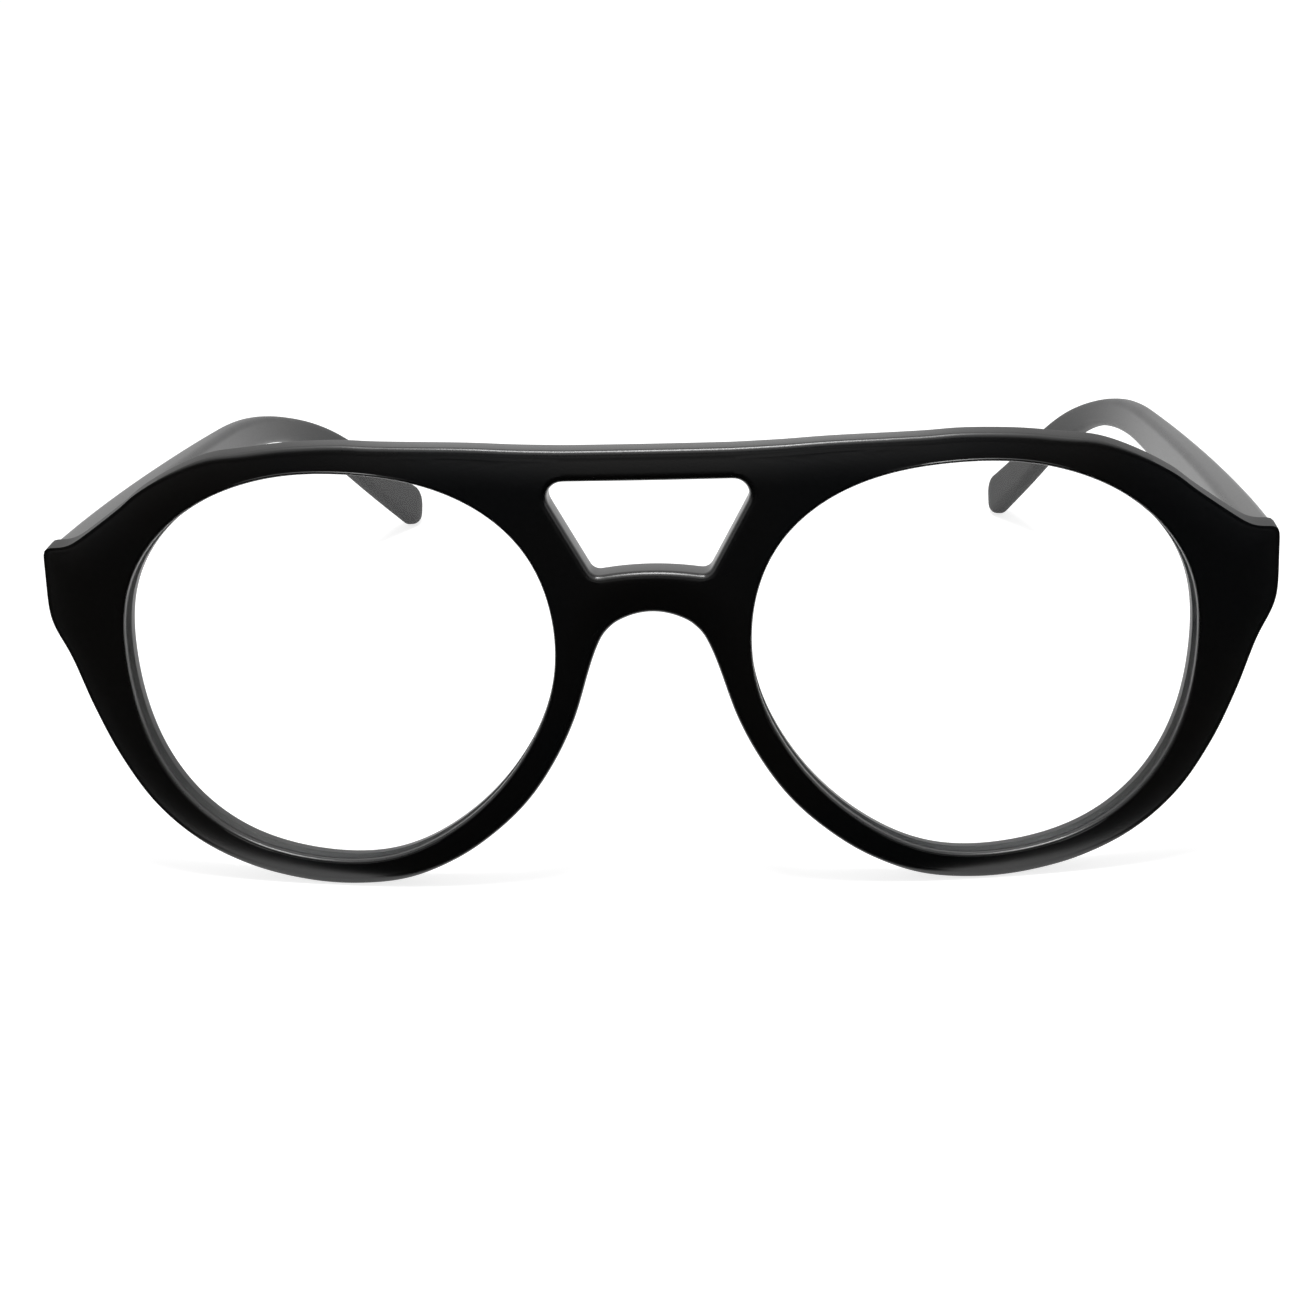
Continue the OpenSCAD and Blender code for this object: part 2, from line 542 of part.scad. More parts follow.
// The part stands centred on the origin, from the bridge's face to the temple's rearmost point
rear_y = max([for (s = temple_stations) for (p = temple_section(s[0], s[1])) p[1]]);
module placed(side) {
    translate([0, -rear_y / 2, 0]) if (side > 0) {
        children();
    } else {
        mirror([1, 0, 0]) children();
    }
}

module front_frame() {
    color(black) placed(1) difference() {
        front_body();
        at_front_leaf() front_sunk(leaf_gap);
        mirror([1, 0, 0]) at_front_leaf() front_sunk(leaf_gap);
    }
}
module lens_left() { color(clear) placed(1) lens(); }
module lens_right() { color(clear) placed(-1) lens(); }
module nose_pad_left() { color(pad_black) placed(1) nose_pad(); }
module nose_pad_right() { color(pad_black) placed(-1) nose_pad(); }
module temple_left() { color(black) placed(1) temple_body(); }
module temple_right() { color(black) placed(-1) temple_body(); }
module core_wire_left() { color(steel) placed(1) wire(wire_d / 2, 0); }
module core_wire_right() { color(steel) placed(-1) wire(wire_d / 2, 0); }
module front_hinge_leaf_left() { color(steel) placed(1) front_leaf(); }
module front_hinge_leaf_right() { color(steel) placed(-1) front_leaf(); }
module temple_hinge_leaf_left() { color(steel) placed(1) temple_leaf(); }
module temple_hinge_leaf_right() { color(steel) placed(-1) temple_leaf(); }
module hinge_screw_left() { color(steel) placed(1) screw(); }
module hinge_screw_right() { color(steel) placed(-1) screw(); }

front_frame();
lens_left();
lens_right();
nose_pad_left();
nose_pad_right();
temple_left();
temple_right();
core_wire_left();
core_wire_right();
front_hinge_leaf_left();
front_hinge_leaf_right();
temple_hinge_leaf_left();
temple_hinge_leaf_right();
hinge_screw_left();
hinge_screw_right();
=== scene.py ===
# %% [markdown]
# # Black aviator glasses with a double bridge
# The glasses stand open on a pale table, on their rims and on the tips of their temples. The sizes and
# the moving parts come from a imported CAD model, which is loaded first and never changed. What a camera
# sees is built here as finer surfaces in the same places: the CAD front has flat facets a few millimetres
# long, and a satin black surface shows every facet as a break in its highlight.

# %% Load the frame and keep its box
import math

import bmesh
import bpy
import numpy as np
from mathutils import Matrix, Vector


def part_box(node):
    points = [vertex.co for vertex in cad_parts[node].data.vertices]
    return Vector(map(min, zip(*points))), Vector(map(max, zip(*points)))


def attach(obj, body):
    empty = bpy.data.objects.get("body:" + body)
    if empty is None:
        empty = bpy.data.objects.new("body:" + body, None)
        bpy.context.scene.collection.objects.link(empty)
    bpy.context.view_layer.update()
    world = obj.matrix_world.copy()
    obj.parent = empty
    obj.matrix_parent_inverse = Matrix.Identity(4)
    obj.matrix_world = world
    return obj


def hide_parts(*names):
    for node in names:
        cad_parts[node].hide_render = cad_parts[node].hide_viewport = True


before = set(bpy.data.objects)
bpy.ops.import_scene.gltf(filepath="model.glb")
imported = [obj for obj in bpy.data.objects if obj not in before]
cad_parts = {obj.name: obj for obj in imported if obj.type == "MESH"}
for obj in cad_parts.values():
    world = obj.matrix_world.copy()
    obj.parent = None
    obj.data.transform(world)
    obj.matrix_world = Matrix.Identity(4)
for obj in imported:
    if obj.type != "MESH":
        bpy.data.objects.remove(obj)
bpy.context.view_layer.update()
face_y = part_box("front_frame")[0].y
print("face of the front at y =", round(face_y * 1000, 2), "mm")

# %% [markdown]
# ## The camera
# The picture was taken from a little above and a little to one side, with a long lens. The place, the
# turn and the focal length come from fitting the outlines of the two rims, the keyhole and the temples,
# so the camera is written down as a place and three directions: right, up and back.

# %% The camera at the photograph's place
lens_mm, down_deg, aside_deg, roll_deg = 73.78, 19.187, 3.426, -2.025
camera_place = Vector((0.017904, face_y - 0.291625, 0.1309))

def camera_axes(down, aside, roll):
    """Right, up and back of a camera that looks along +Y, then turns aside and down, then rolls (degrees)."""
    p, w, r = math.radians(down), math.radians(aside), math.radians(roll)
    ahead = Vector((-math.sin(w) * math.cos(p), math.cos(w) * math.cos(p), -math.sin(p)))
    right = Vector((math.cos(w), math.sin(w), 0))
    up = right.cross(ahead)
    return (math.cos(r) * right + math.sin(r) * up, math.cos(r) * up - math.sin(r) * right, -ahead)

def put_in_scene(name, data):
    """A new object that holds the data, linked to the scene."""
    made = bpy.data.objects.new(name, data)
    bpy.context.scene.collection.objects.link(made)
    return made

camera = put_in_scene("camera", bpy.data.cameras.new("camera"))
camera.data.sensor_width, camera.data.lens = 36.0, lens_mm
camera.data.clip_start, camera.data.clip_end = 0.01, 20.0
turn = Matrix(camera_axes(down_deg, aside_deg, roll_deg)).transposed().to_4x4()
camera.matrix_world = Matrix.Translation(camera_place) @ turn
bpy.context.scene.camera = camera
print("camera", lens_mm, "mm lens,", round(camera_place.length * 1000), "mm from the origin")

# %% [markdown]
# ## Small helpers for node trees
# The world, the table and every finish are node trees. A few helpers keep them short to read: one adds a
# node with its values, one does a step of arithmetic, one fades between two values, and one picks a
# shader by a mask.

# %% Nodes, arithmetic, fades and masks
WHITE, BLACK = (1, 1, 1, 1), (0, 0, 0, 1)

def set_inputs(node, **values):
    """The node with its inputs set by name; an underscore stands for a space."""
    for key, value in values.items():
        node.inputs[key.replace("_", " ")].default_value = value
    return node

def add(tree, kind, **values):
    """A new node with its inputs set by name."""
    return set_inputs(tree.nodes.new(kind), **values)

def math_node(tree, operation, a, b, clamp=False):
    """One step of arithmetic, on sockets or numbers."""
    made = tree.nodes.new("ShaderNodeMath")
    made.operation, made.use_clamp = operation, clamp
    for socket, value in zip(made.inputs, (a, b)):
        if isinstance(value, (int, float)):
            socket.default_value = value
        else:
            tree.links.new(value, socket)
    return made.outputs[0]

def fade(tree, value, low, high):
    """0 at low, 1 at high and a smooth climb or fall between them."""
    made = add(tree, "ShaderNodeMapRange", From_Min=min(low, high), From_Max=max(low, high),
               To_Min=float(low > high), To_Max=float(low < high))
    made.interpolation_type = "SMOOTHSTEP"
    tree.links.new(value, made.inputs["Value"])
    return made.outputs["Result"]

def either_shader(tree, mask, first, second):
    """The first shader where the mask is 0 and the second where it is 1."""
    made = tree.nodes.new("ShaderNodeMixShader")
    for socket, value in zip(made.inputs, (mask, first.outputs[0], second.outputs[0])):
        tree.links.new(value, socket)
    return made.outputs[0]

def object_point(tree):
    """The point on the piece itself, in metres, wherever the camera stands."""
    return tree.nodes.new("ShaderNodeTexCoord").outputs["Object"]

def new_material(name):
    """A material, its node tree and its Principled shader."""
    made = bpy.data.materials.new(name)
    made.use_nodes = True
    return made, made.node_tree, made.node_tree.nodes["Principled BSDF"]

def seen_directly(tree):
    """1 for rays from the camera, from reflections and through glass, otherwise 0."""
    path = tree.nodes.new("ShaderNodeLightPath")
    either = math_node(tree, "MAXIMUM", path.outputs["Is Camera Ray"], path.outputs["Is Glossy Ray"])
    return math_node(tree, "MAXIMUM", either, path.outputs["Is Transmission Ray"])

print("helpers:", [f.__name__ for f in (set_inputs, add, math_node, fade, either_shader, seen_directly)])

# %% [markdown]
# ## The table and the light
# The background of the photograph is white from edge to edge. Here the table and the world show full
# white only to the camera, to reflections and to the lenses. The light that falls on the glasses stays at
# a plain level: an even glow from all round and one soft light overhead. A black object stays black only
# when what it mirrors is dark, so photographers put a black card in front of it. The card is seen by
# reflections alone, and a dim grey stripe across it gives the upper edge of the front its soft sheen.

# %% A world that is white to the eye
bpy.context.scene.view_settings.view_transform = "Standard"
ambient = 0.45

def set_world():
    """White to the eye, a plain even glow to everything else."""
    world = bpy.data.worlds.new("studio")
    world.use_nodes = True
    tree = world.node_tree
    tree.nodes.clear()
    glow = add(tree, "ShaderNodeBackground", Color=WHITE, Strength=ambient)
    white = add(tree, "ShaderNodeBackground", Color=WHITE, Strength=1.0)
    out = tree.nodes.new("ShaderNodeOutputWorld")
    tree.links.new(either_shader(tree, seen_directly(tree), glow, white), out.inputs["Surface"])
    bpy.context.scene.world = world

set_world()
print("even glow from all round:", ambient)

# %% The table, which keeps the shadow
table_tone, table_z, table_half = 0.5, -0.0002, 3.0

def table_material():
    """A lit surface, which keeps the shadow, with the light added for the eye that it lacks to full white."""
    mat, tree, _ = new_material("pale_table")
    tree.nodes.clear()
    lit = add(tree, "ShaderNodeBsdfDiffuse", Color=(table_tone,) * 3 + (1,))
    lift = add(tree, "ShaderNodeEmission", Color=WHITE, Strength=1.0 - table_tone * ambient)
    dark = add(tree, "ShaderNodeEmission", Color=BLACK, Strength=0.0)
    both = tree.nodes.new("ShaderNodeAddShader")
    out = tree.nodes.new("ShaderNodeOutputMaterial")
    tree.links.new(lit.outputs[0], both.inputs[0])
    tree.links.new(either_shader(tree, seen_directly(tree), dark, lift), both.inputs[1])
    tree.links.new(both.outputs[0], out.inputs["Surface"])
    return mat

def stage_sheet(name, points, faces, material):
    """A sheet of the stage from its corner points in metres."""
    mesh = bpy.data.meshes.new(name)
    mesh.from_pydata([tuple(p) for p in points], [], faces)
    mesh.materials.append(material)
    made = put_in_scene(name, mesh)
    return made

corners = [(x * table_half, y * table_half, table_z) for x, y in ((-1, -1), (1, -1), (1, 1), (-1, 1))]
stage_sheet("table", corners, [(0, 1, 2, 3)], table_material())
print("table", 2 * table_half, "m wide, tone", table_tone)

# %% The black card
card_half, card_foot, card_lift, card_run = 1.2, 0.0012, 0.0004, 0.35
curl_radius, curl_deg, curl_steps = 0.6, 100, 21
card_tone, stripe = 0.002, 0.5
stripe_fades = (("Z", 0.03, 0.08), ("Z", 0.4, 0.25), ("X", 0.35, 0.15), ("X", -0.35, -0.15))

def card_material():
    """Dull black, with a grey stripe that fades out at its four sides (heights and widths in metres)."""
    mat, tree, shade = new_material("black_card")
    set_inputs(shade, Base_Color=(card_tone,) * 3 + (1,), Specular_IOR_Level=0.0, Emission_Strength=stripe)
    place = tree.nodes.new("ShaderNodeSeparateXYZ")
    tree.links.new(object_point(tree), place.inputs[0])
    glow = 1.0
    for axis, low, high in stripe_fades:
        glow = math_node(tree, "MULTIPLY", glow, fade(tree, place.outputs[axis], low, high))
    tree.links.new(glow, shade.inputs["Emission Color"])
    return mat

def black_card():
    """A strip that lies on the table from under the front forwards, and curls up on a circle past the camera:
    y = foot - run - r sin w, z = lift + r (1 - cos w). Only reflections see it."""
    curl = np.radians(np.linspace(0, curl_deg, curl_steps))
    y = face_y + card_foot - np.r_[0, card_run + curl_radius * np.sin(curl)]
    z = card_lift + np.r_[0, curl_radius * (1 - np.cos(curl))]
    points = [(x, yy, zz) for yy, zz in zip(y, z) for x in (-card_half, card_half)]
    faces = [(2 * i, 2 * i + 1, 2 * i + 3, 2 * i + 2) for i in range(len(y) - 1)]
    card = stage_sheet("black_card", points, faces, card_material())
    card.visible_camera = card.visible_diffuse = card.visible_transmission = False
    card.visible_shadow = card.visible_volume_scatter = False
    return card

print("card:", len(black_card().data.polygons), "faces, stripe", stripe)

# %% The soft light overhead
lamp_power, lamp_size, lamp_place = 6.5, (0.32, 0.25), (-0.02, face_y - 0.12, 0.9)
soft = put_in_scene("soft_light", bpy.data.lights.new("soft_light", "AREA"))
soft.data.shape = "RECTANGLE"
soft.data.size, soft.data.size_y = lamp_size
soft.data.energy = lamp_power
soft.location = lamp_place
print("soft light", lamp_power, "W, size", lamp_size, "m")

# %% [markdown]
# ## Tools for surfaces
# Every piece is a grid of points worked out at once with numpy, in millimetres, from the middle of the
# front's face. `build` brings the grids to their place in metres, joins points that fall together, so
# that seams and poles are closed, turns all faces outwards and prints the volume and the number of open
# edges, which is 0 for a closed body. Two marks go with the points, for the finish: one where hands rub
# an edge, one where a surface was left duller.

# %% Grids into one closed mesh
MM = 0.001
weld, sliver = 2e-7, 1e-8

def grid_faces(rows, cols, around=False, closed=False):
    """Quads of a grid of rows x cols points. around joins the last column to the first, closed the last row
    to the first."""
    i = np.arange(rows if closed else rows - 1)[:, None]
    j = np.arange(cols if around else cols - 1)[None, :]
    i2, j2 = (i + 1) % rows, (j + 1) % cols
    corners = [i * cols + j, i * cols + j2, i2 * cols + j2, i2 * cols + j]
    return np.stack([c.ravel() for c in corners], 1)

def build(name, grids, body, nodes, material, sharp=35.0, mirror=False, second=None):
    """One piece from grids of (points, faces, edge marks, dull marks). second is a material for the faces in
    its mask."""
    points = np.vstack([g[0].reshape(-1, 3) for g in grids])
    starts = np.cumsum([0] + [g[0].size // 3 for g in grids[:-1]])
    faces = np.vstack([g[1] + s for g, s in zip(grids, starts)])
    place = points * MM * ([-1, 1, 1] if mirror else [1, 1, 1]) + [0, face_y, 0]
    mesh = bpy.data.meshes.new(name)
    mesh.from_pydata(place.tolist(), [], faces.tolist())
    for k, label in ((2, "edge"), (3, "dull")):
        marks = np.concatenate([np.broadcast_to(g[k], g[0].shape[:-1]).ravel() for g in grids])
        mesh.attributes.new(label, "FLOAT", "POINT").data.foreach_set("value", marks.astype(np.float32))
    mesh.materials.append(material)
    if second:
        mesh.materials.append(second[0])
        mesh.polygons.foreach_set("material_index", second[1].astype(np.int32))
    work = bmesh.new()
    work.from_mesh(mesh)
    bmesh.ops.remove_doubles(work, verts=work.verts, dist=weld)
    bmesh.ops.dissolve_degenerate(work, dist=sliver, edges=work.edges)
    bmesh.ops.recalc_face_normals(work, faces=work.faces)
    open_edges = sum(1 for e in work.edges if not e.is_manifold)
    volume = work.calc_volume(signed=True) / MM ** 3
    work.to_mesh(mesh)
    work.free()
    mesh.shade_smooth()
    mesh.set_sharp_from_angle(angle=math.radians(sharp))
    piece = put_in_scene(name, mesh)
    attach(piece, body)
    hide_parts(*nodes)
    print(f"{name}: {len(mesh.polygons)} faces, {volume:.0f} mm3, open edges {open_edges}")

print("a grid of 3 x 4 points has", len(grid_faces(3, 4)), "faces, and", len(grid_faces(3, 4, True, True)),
      "once it is joined both ways")

# %% [markdown]
# ## The satin black plastic
# The front and the temples have a satin surface. Close up it has a grain of about a fifth of a
# millimetre, a slow change from a cold to a warm black, a little more gloss where hands rub the edges,
# and a few specks of dust. The ear ends of the temples and the filed walls of the end pieces are duller
# than the rest. Grain, specks and rub are node groups, because more than one material uses them; each
# plastic scales the rub by its own amount, and the lens and the metals set their own grain.

# %% The grain, as a node group
largest_input = 100000.0

def new_group(name, inputs, outputs):
    """An empty shader group with its named sockets, and its input and output nodes."""
    tree = bpy.data.node_groups.new(name, "ShaderNodeTree")
    for label, value in inputs.items():
        made = tree.interface.new_socket(label, in_out="INPUT", socket_type="NodeSocketFloat")
        made.default_value = value
        made.min_value, made.max_value = 0.0, largest_input
    for label, kind in outputs.items():
        tree.interface.new_socket(label, in_out="OUTPUT", socket_type=kind)
    return tree, tree.nodes.new("NodeGroupInput"), tree.nodes.new("NodeGroupOutput")

def grain_group():
    """Moulded grain: fine noise for the height, slow noise for the tone."""
    tree, into, out = new_group("moulded_grain", {"Grains per metre": 5000.0, "Cloud size": 45.0},
                                {"Height": "NodeSocketFloat", "Cloud": "NodeSocketFloat"})
    where = object_point(tree)
    fine = add(tree, "ShaderNodeTexNoise", Detail=2.0, Roughness=0.6)
    slow = add(tree, "ShaderNodeTexNoise", Detail=2.0, Roughness=0.5)
    for node, label in ((fine, "Grains per metre"), (slow, "Cloud size")):
        tree.links.new(where, node.inputs["Vector"])
        tree.links.new(into.outputs[label], node.inputs["Scale"])
    tree.links.new(fine.outputs["Fac"], out.inputs["Height"])
    tree.links.new(fade(tree, slow.outputs["Fac"], 0.35, 0.65), out.inputs["Cloud"])
    return tree

groups = {"grain": grain_group()}
print("sockets of the grain:", [s.name for s in groups["grain"].interface.items_tree])

# %% Specks of dust and rubbed edges, as node groups
def speck_group():
    """Dust: a small spot at the middle of some of the cells of a Voronoi pattern."""
    tree, into, out = new_group("dust_specks", {"Cells per metre": 170.0, "Spot size": 0.012, "Share": 0.3},
                                {"Mask": "NodeSocketFloat"})
    where = object_point(tree)
    cells = tree.nodes.new("ShaderNodeTexVoronoi")
    tree.links.new(where, cells.inputs["Vector"])
    tree.links.new(into.outputs["Cells per metre"], cells.inputs["Scale"])
    apart = tree.nodes.new("ShaderNodeSeparateColor")
    tree.links.new(cells.outputs["Color"], apart.inputs["Color"])
    near = math_node(tree, "LESS_THAN", cells.outputs["Distance"],
                     math_node(tree, "MULTIPLY", into.outputs["Spot size"], apart.outputs["Green"]))
    kept = math_node(tree, "LESS_THAN", apart.outputs["Red"], into.outputs["Share"])
    tree.links.new(math_node(tree, "MULTIPLY", near, kept), out.inputs["Mask"])
    return tree

def rub_group():
    """Rubbed edges: the piece's own edge marks, broken up by noise."""
    tree, into, out = new_group("edge_rub", {"Amount": 1.0, "Patches per metre": 400.0},
                                {"Mask": "NodeSocketFloat"})
    marks = tree.nodes.new("ShaderNodeAttribute")
    marks.attribute_name = "edge"
    patches = add(tree, "ShaderNodeTexNoise", Detail=3.0)
    tree.links.new(object_point(tree), patches.inputs["Vector"])
    tree.links.new(into.outputs["Patches per metre"], patches.inputs["Scale"])
    broken = fade(tree, patches.outputs["Fac"], 0.3, 0.7)
    mask = math_node(tree, "MULTIPLY", marks.outputs["Fac"], broken)
    tree.links.new(math_node(tree, "MULTIPLY", mask, into.outputs["Amount"], True), out.inputs["Mask"])
    return tree

groups["specks"], groups["rub"] = speck_group(), rub_group()
print("groups:", [g.name for g in groups.values()])

# %% The plastic itself
grain_spread, dust_colour, dull_step = 0.12, (0.35, 0.34, 0.32), 0.35

def place_group(tree, group, **values):
    """A node group placed in a material with its own values."""
    made = tree.nodes.new("ShaderNodeGroup")
    made.node_tree = group
    return set_inputs(made, **values)

def blend_colours(tree, mask, first, second):
    """First colour where the mask is 0, second where it is 1. A colour is a value or a socket."""
    made = tree.nodes.new("ShaderNodeMix")
    made.data_type = "RGBA"
    tree.links.new(mask, made.inputs["Factor"])
    for socket, value in ((made.inputs[6], first), (made.inputs[7], second)):
        if isinstance(value, tuple):
            socket.default_value = value + (1,)
        else:
            tree.links.new(value, socket)
    return made.outputs[2]

def uneven_roughness(tree, height, middle, spread):
    """Roughness that swings about its middle with a group's height."""
    swing = math_node(tree, "MULTIPLY_ADD", height, spread)
    swing.node.inputs[2].default_value = middle - spread / 2
    return swing

def bumped(tree, height, depth, strength=1.0):
    """The normal of a surface with bumps of that depth in metres."""
    bump = add(tree, "ShaderNodeBump", Strength=strength, Distance=depth)
    tree.links.new(height, bump.inputs["Height"])
    return bump.outputs["Normal"]

def plastic(name, cold, warm, rough, gloss, grain_depth, rub=0.03):
    """Moulded plastic between a cold and a warm black, with grain, dust, rubbed edges and duller places."""
    mat, tree, shade = new_material(name)
    grain, specks, rubbed = (place_group(tree, groups[label]) for label in ("grain", "specks", "rub"))
    tone = blend_colours(tree, grain.outputs["Cloud"], cold, warm)
    dusty = blend_colours(tree, specks.outputs["Mask"], tone, dust_colour)
    tree.links.new(dusty, shade.inputs["Base Color"])
    uneven = uneven_roughness(tree, grain.outputs["Height"], rough, grain_spread)
    smoother = math_node(tree, "MULTIPLY", rubbed.outputs["Mask"], rub)
    dull = tree.nodes.new("ShaderNodeAttribute")
    dull.attribute_name = "dull"
    duller = math_node(tree, "MULTIPLY", dull.outputs["Fac"], dull_step)
    satin = math_node(tree, "SUBTRACT", uneven, smoother)
    tree.links.new(math_node(tree, "ADD", satin, duller), shade.inputs["Roughness"])
    set_inputs(shade, Specular_IOR_Level=gloss)
    tree.links.new(bumped(tree, grain.outputs["Height"], grain_depth), shade.inputs["Normal"])
    return mat

satin_black = plastic("satin_black_plastic", (0.0018, 0.0021, 0.0027), (0.0028, 0.0024, 0.0021),
                      rough=0.31, gloss=0.6, grain_depth=0.000006)
print("material:", satin_black.name)

# %% [markdown]
# ## The lens opening and the outline of the front
# A front like this is milled from one sheet: a cutter follows the outline, another cuts the openings with
# a groove for the lenses, and tumbling rounds the edges. Two curves carry everything. The opening is four
# quarters of rounded ellipses that run into each other, and a bell-shaped mean sands the joins between
# the quarters. The outline is a smooth curve through marks set out from the opening by the width of the
# rim.

# %% Sizes of the front, in millimetres
eye_w, eye_up, eye_down, nose_gap = 51.6, 20.5, 27.2, 22.7
round_brow_out, round_brow_in, round_nose, round_cheek = 2.05, 2.35, 1.8, 2.4
sand_spread = 7.0
front_t, base_r, edge_r, inner_edge_r, key_edge_r = 4.2, 320.0, 1.0, 0.4, 0.85
rim_under, rim_nose, rim_cheek, rim_over, rim_brow = 3.25, 3.55, 3.4, 3.2, 4.55
bar_h, bar_up, key_top_w, key_bottom_w, key_h = 3.6, 2.7, 25.4, 13.3, 11.1
key_top_r, key_bottom_r, key_arch, low_bridge_h, arch_w = 1.8, 1.3, 0.5, 5.0, 14.1
end_w, end_h, end_up = 9.3, 9.0, 6.2
groove_d, groove_w, groove_y = 0.7, 1.8, 1.9
eye_x, eye_z = (nose_gap + eye_w) / 2, rim_under + eye_down
end_x, end_z = nose_gap / 2 + eye_w + end_w, eye_z + end_up
end_top, end_low = end_z + end_h / 2, end_z - end_h / 2
bar_z = eye_z + eye_up + bar_up
key_z1 = bar_z - bar_h
key_z0 = key_z1 - key_h
arch_z = key_z0 + key_arch - low_bridge_h
arch_x, arch_drop = arch_w / 2 - 2.6, 1.35
print("front", 2 * end_x, "mm wide, brow at", round(bar_z, 2), "mm, openings at", (eye_x, eye_z))

# %% The opening, as a point for each direction from its middle
bell_reach = np.linspace(-2.5, 2.5, 21)
bell = np.exp(-bell_reach ** 2 / 2)
bell_share = bell / bell.sum()

def ease(t):
    """A smooth climb from 0 to 1, t^2 (3 - 2 t), with t cut off at 0 and 1."""
    t = np.clip(t, 0, 1)
    return t * t * (3 - 2 * t)

def radius(a):
    """((|cos a| / half width)^q + (|sin a| / height)^q)^(-1/q), with q eased between the four quarters."""
    c, s = np.cos(np.radians(a)), np.sin(np.radians(a))
    u, v = ease(c + 0.5), ease(s + 0.5)
    over, under = u * round_brow_out + (1 - u) * round_brow_in, u * round_cheek + (1 - u) * round_nose
    q = v * over + (1 - v) * under
    h = np.where(s >= 0, eye_up, eye_down)
    return ((np.abs(c) * 2 / eye_w) ** q + (np.abs(s) / h) ** q) ** (-1 / q)

def opening_edge(a):
    """Points of the opening. Their radius is a bell-shaped mean with a spread of sand_spread degrees, which
    takes the knees out of the joins."""
    a = np.asarray(a, float)
    r = radius(a[..., None] + sand_spread * bell_reach) @ bell_share
    return np.stack([eye_x + r * np.cos(np.radians(a)), eye_z + r * np.sin(np.radians(a))], -1)

def opening(a):
    """Points of the opening's wall and the directions into the plastic, square to the wall."""
    d = opening_edge(a + 0.5) - opening_edge(a - 0.5)
    n = np.stack([d[..., 1], -d[..., 0]], -1)
    return opening_edge(a), n / np.linalg.norm(n, axis=-1, keepdims=True)

def bend(x):
    """Depth of the bent face at x: the front is rolled to a circle of radius base_r."""
    return base_r - np.sqrt(base_r ** 2 - x ** 2)

def lay(flat, depth):
    """Points of the drawing (x, z) laid on the bent front at a depth behind its face."""
    depth = np.broadcast_to(depth, flat.shape[:-1])
    return np.stack([flat[..., 0], bend(flat[..., 0]) + depth, flat[..., 1]], -1)

def lay_square(flat, depth):
    """The same for what is cut square to the bent front: x (1 - depth / base_r) leans to the middle."""
    depth = np.broadcast_to(depth, flat.shape[:-1])
    return lay(flat * np.stack([1 - depth / base_r, np.ones(depth.shape)], -1), depth)

turns = np.linspace(-180, 180, 721)
wall_length = np.linalg.norm(np.diff(opening_edge(turns), axis=0), axis=1).sum()
moved = np.abs(np.linalg.norm(opening_edge(turns) - [eye_x, eye_z], axis=1) - radius(turns)).max()
print("each opening is", round(wall_length, 1), "mm round, sanding moved it", round(moved, 3), "mm at most")

# %% The outline and the keyhole, as closed loops
rim_table = np.array([[-175, rim_nose + 0.45], [-160, rim_nose - 0.1], [-138, rim_nose + 0.1],
    [-114, rim_nose - 0.05], [-90, rim_under], [-60, rim_cheek], [-42, rim_cheek + 0.6],
    [-30, rim_cheek + 1.05], [-18, end_w - 3.9], [-6, end_w - 2.4], [30, rim_brow + 0.85],
    [46, rim_brow], [56, rim_brow - 0.35], [66, rim_over + 0.3], [78, rim_over], [88, rim_over],
    [106, rim_over + 0.25]])

def rim_marks(a):
    """Marks outside the opening by the width of the rim: x, z and the direction that they face."""
    a = np.asarray(a, float)
    p, n = opening(a)
    return np.column_stack([p + np.interp(a, *rim_table.T)[:, None] * n, a])

# Directions from the middle of the opening, in degrees. The low bar joins the rim from arch_a to key_low_a,
# the keyhole's corner, flank and other corner from there to key_top_a, and the brow bar on to seam_a.
arch_a, key_low_a, flank_low_a, flank_top_a, key_top_a, seam_a = -187, -202, -205, -217, -229, -236
slant = math.atan2(key_h, (key_top_w - key_bottom_w) / 2)
key_low_x = key_bottom_w / 2 - key_bottom_r * math.tan(slant / 2)
seam_x = key_top_w / 2 - key_top_r / math.tan(slant / 2)
marks = np.vstack([
    [[seam_x, bar_z, seam_a + 360], [seam_x + 5.5, bar_z + 0.15, 119], [seam_x + 11.5, bar_z + 0.4, 113]],
    rim_marks(np.arange(106, 35, -10)), rim_marks([30]),
    [[end_x - 5.6, end_top + 1.75, 24], [end_x - 3.5, end_top + 0.4, 20.5], [end_x - 1.9, end_top, 18],
     [end_x - 0.8, end_top - 0.02, 16.5], [end_x - 0.15, end_top - 0.35, 15],
     [end_x - 0.05, end_top - 1.2, 13.5], [end_x - 0.03, end_top - 3.3, 11],
     [end_x, end_low + 2.2, 6.5], [end_x - 0.2, end_low + 0.2, 3], [end_x - 0.8, end_low - 1.5, 0]],
    rim_marks(np.arange(-6, -175, -12)),
    [[arch_w / 2 - 0.3, arch_z - 4.8, -179], [arch_w / 2 - 1.3, arch_z - 2.7, -183],
     [arch_x, arch_z - arch_drop, arch_a]]])

outline_step, loop_spread = 0.55, 0.9

def through(m, steps=12):
    """A smooth curve through marks. Each stretch is the cubic whose slope at a mark is that of the line
    between the mark's neighbours."""
    m = np.vstack([2 * m[0] - m[1], m, 2 * m[-1] - m[-2]])
    p, q, r, s = (m[k:len(m) - 3 + k, None] for k in range(4))
    t = (np.arange(steps) / steps)[None, :, None]
    bent, twisted = 2 * p - 5 * q + 4 * r - s, 3 * q - p - 3 * r + s
    curve = (2 * q + (r - p) * t + bent * t ** 2 + twisted * t ** 3) / 2
    return np.vstack([curve.reshape(-1, m.shape[1]), m[-2]])

